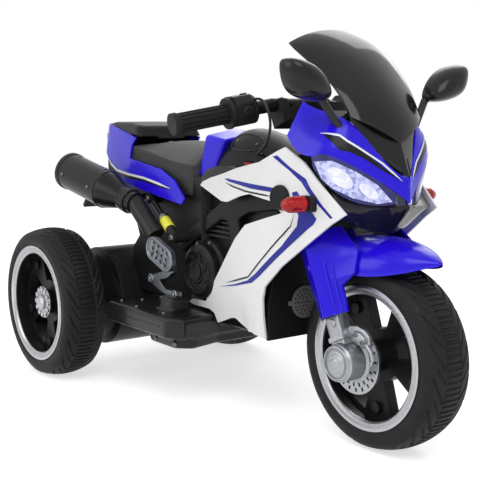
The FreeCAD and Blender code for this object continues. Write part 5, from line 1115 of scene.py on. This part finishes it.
TAIL_BLACK = mm([
    (-351, -75, 403), (-328, -80, 389), (-212, -90, 384), (-153, -92, 377),
    (-104, -93, 373)]) + TAIL_WHITE[5:1:-1]
LAMP_RIM = mm([
    (310, -111, 443), (338, -100, 445), (360, -72, 429), (377, -44, 409), (388, -24, 384), (375, -42, 381),
    (353, -70, 389), (332, -94, 404), (319, -103, 417)])
LAMP_TIP, LAMP_SHARE, LAMP_STEP = 4, 0.99, 0.004
# Each bright bowl: share of the way from the lamp's outer corner to its tip, drop, half length, half height
LAMP_BOWLS = [(0.33, 0.005, 0.021, 0.0125), (0.69, 0.003, 0.016, 0.009)]


def make_stripes(side, label):
    """All printed stripes and lamps of one side; side is -1 for the right."""
    def places(points, y=0.11):
        spots = [(point[0], -y, point[1]) if len(point) == 2 else point for point in points]
        return [Vector((x, -side * out, z)) for x, out, z in spots]

    fairing = tree_of("side_fairing_" + label)
    nose, tail, lamps = tree_of("nose_fairing"), tree_of("tail_cover"), tree_of("headlight_lenses")
    inward = Vector((0, -side, 0))
    nose_in = Vector((NOSE_AIM.x, -side * NOSE_AIM.y, NOSE_AIM.z))
    for name, outline in (("band", FAIRING_BAND), ("upper", FAIRING_UPPER), ("taper", FAIRING_TAPER)):
        decal(f"stripe_{name}_{label}", fairing, places(outline), inward, "decal_blue")
    for index, line in enumerate(FAIRING_LINES):
        ribbon(f"stripe_line_{index}_{label}", fairing, places(line, 0.14), 0.0026, "decal_black")
    rim = places(LAMP_RIM)
    middle = sum(rim, Vector()) / len(rim)
    glow = [middle + (spot - middle) * LAMP_SHARE for spot in rim]
    decal("lamp_glow_" + label, lamps, glow, nose_in, "lamp_glow", LAMP_STEP)
    length = (rim[LAMP_TIP] - rim[0]).normalized()
    for index, (share, drop, long, tall) in enumerate(LAMP_BOWLS):
        centre = rim[0].lerp(rim[LAMP_TIP], share) - Z_AXIS * drop
        bowl = ring_of(centre, length * long, Z_AXIS * tall, 1, 24)
        decal(f"lamp_bowl_{index}_{label}", lamps, bowl, nose_in, "lamp_bowl", LAMP_STEP, 0.0008)
    decal("nose_black_" + label, nose, places(NOSE_BLACK), nose_in, "decal_black")
    ribbon("nose_white_" + label, nose, places(NOSE_WHITE), 0.0032, "decal_white", 0.0008)
    decal("tail_black_" + label, tail, places(TAIL_BLACK), inward, "decal_black")
    ribbon("tail_white_" + label, tail, places(TAIL_WHITE), 0.0045, "decal_white", 0.0008)


make_stripes(-1, "right")
make_stripes(1, "left")


# Stage: pale floor, white surround, soft lights and the camera

FLOOR_REACH = 6
CAMERA_PLACE, CAMERA_TURN, CAMERA_DROP = (1.409, -1.059, 0.515), radians(53.47), radians(7.41)
CAMERA_LENS, CAMERA_SENSOR = 73.9, 36


def seen_straight(tree, otherwise, straight):
    """One value for light on the object, another for what the camera, metal and glass see."""
    path = add_node(tree, "LightPath").outputs
    seen = path["Is Camera Ray"]
    for ray in ("Is Glossy Ray", "Is Transmission Ray"):
        seen = add_node(tree, "Math", {0: seen, 1: path[ray]}, operation="MAXIMUM").outputs[0]
    values = {"Factor": seen, "A": otherwise, "B": straight}
    return add_node(tree, "Mix", values, data_type="FLOAT").outputs["Result"]


def make_floor():
    mesh = bpy.data.meshes.new("floor")
    corners = [(-1, -1), (1, -1), (1, 1), (-1, 1)]
    mesh.from_pydata([(x * FLOOR_REACH, y * FLOOR_REACH, 0) for x, y in corners], [], [(0, 1, 2, 3)])
    look = Shader("floor_pale")
    look.set(Base_Color=look.ramp(look.noise(6, 2), (0.8, 0.8, 0.8), (0.84, 0.84, 0.84)), Roughness=0.8,
             Specular_IOR_Level=0.1, Emission_Color=(1, 1, 1, 1),
             Emission_Strength=seen_straight(look.tree, 0.0, 0.62))
    mesh.materials.append(MATERIALS["floor_pale"])
    floor = add_to_scene("floor", mesh)


def make_world():
    """White to the camera and in reflections, softer as light on the object."""
    world = bpy.data.worlds.new("studio")
    bpy.context.scene.world = world
    world.use_nodes = True
    tree = world.node_tree
    back = tree.nodes["Background"]
    tree.links.new(seen_straight(tree, 0.5, 1.0), back.inputs["Strength"])
    back.inputs["Color"].default_value = (1, 1, 1, 1)


def make_light(name, place, target, power, size):
    lamp = bpy.data.lights.new(name, "AREA")
    lamp.energy, lamp.size = power, size
    thing = add_to_scene(name, lamp)
    thing.location = place
    thing.rotation_euler = (Vector(target) - Vector(place)).to_track_quat("-Z", "Y").to_euler()


def make_camera():
    """The photograph's own viewpoint."""
    lens_data = bpy.data.cameras.new("camera")
    lens_data.lens, lens_data.sensor_width = CAMERA_LENS, CAMERA_SENSOR
    camera = add_to_scene("camera", lens_data)
    camera.location = CAMERA_PLACE
    level = cos(CAMERA_DROP)
    sight = Vector((-sin(CAMERA_TURN) * level, cos(CAMERA_TURN) * level, -sin(CAMERA_DROP)))
    camera.rotation_euler = sight.to_track_quat("-Z", "Y").to_euler()
    bpy.context.scene.camera = camera


make_floor()
make_world()
make_light("key", (1.6, -1.2, 2.2), (0, 0, 0.3), 30, 1.6)
make_light("side", (-0.6, -2.2, 1.2), (0, 0, 0.3), 12, 1.4)
make_light("back", (-1.2, 1.6, 1.8), (0, 0, 0.4), 14, 1.6)
make_camera()
bpy.context.scene.view_settings.view_transform = "Standard"
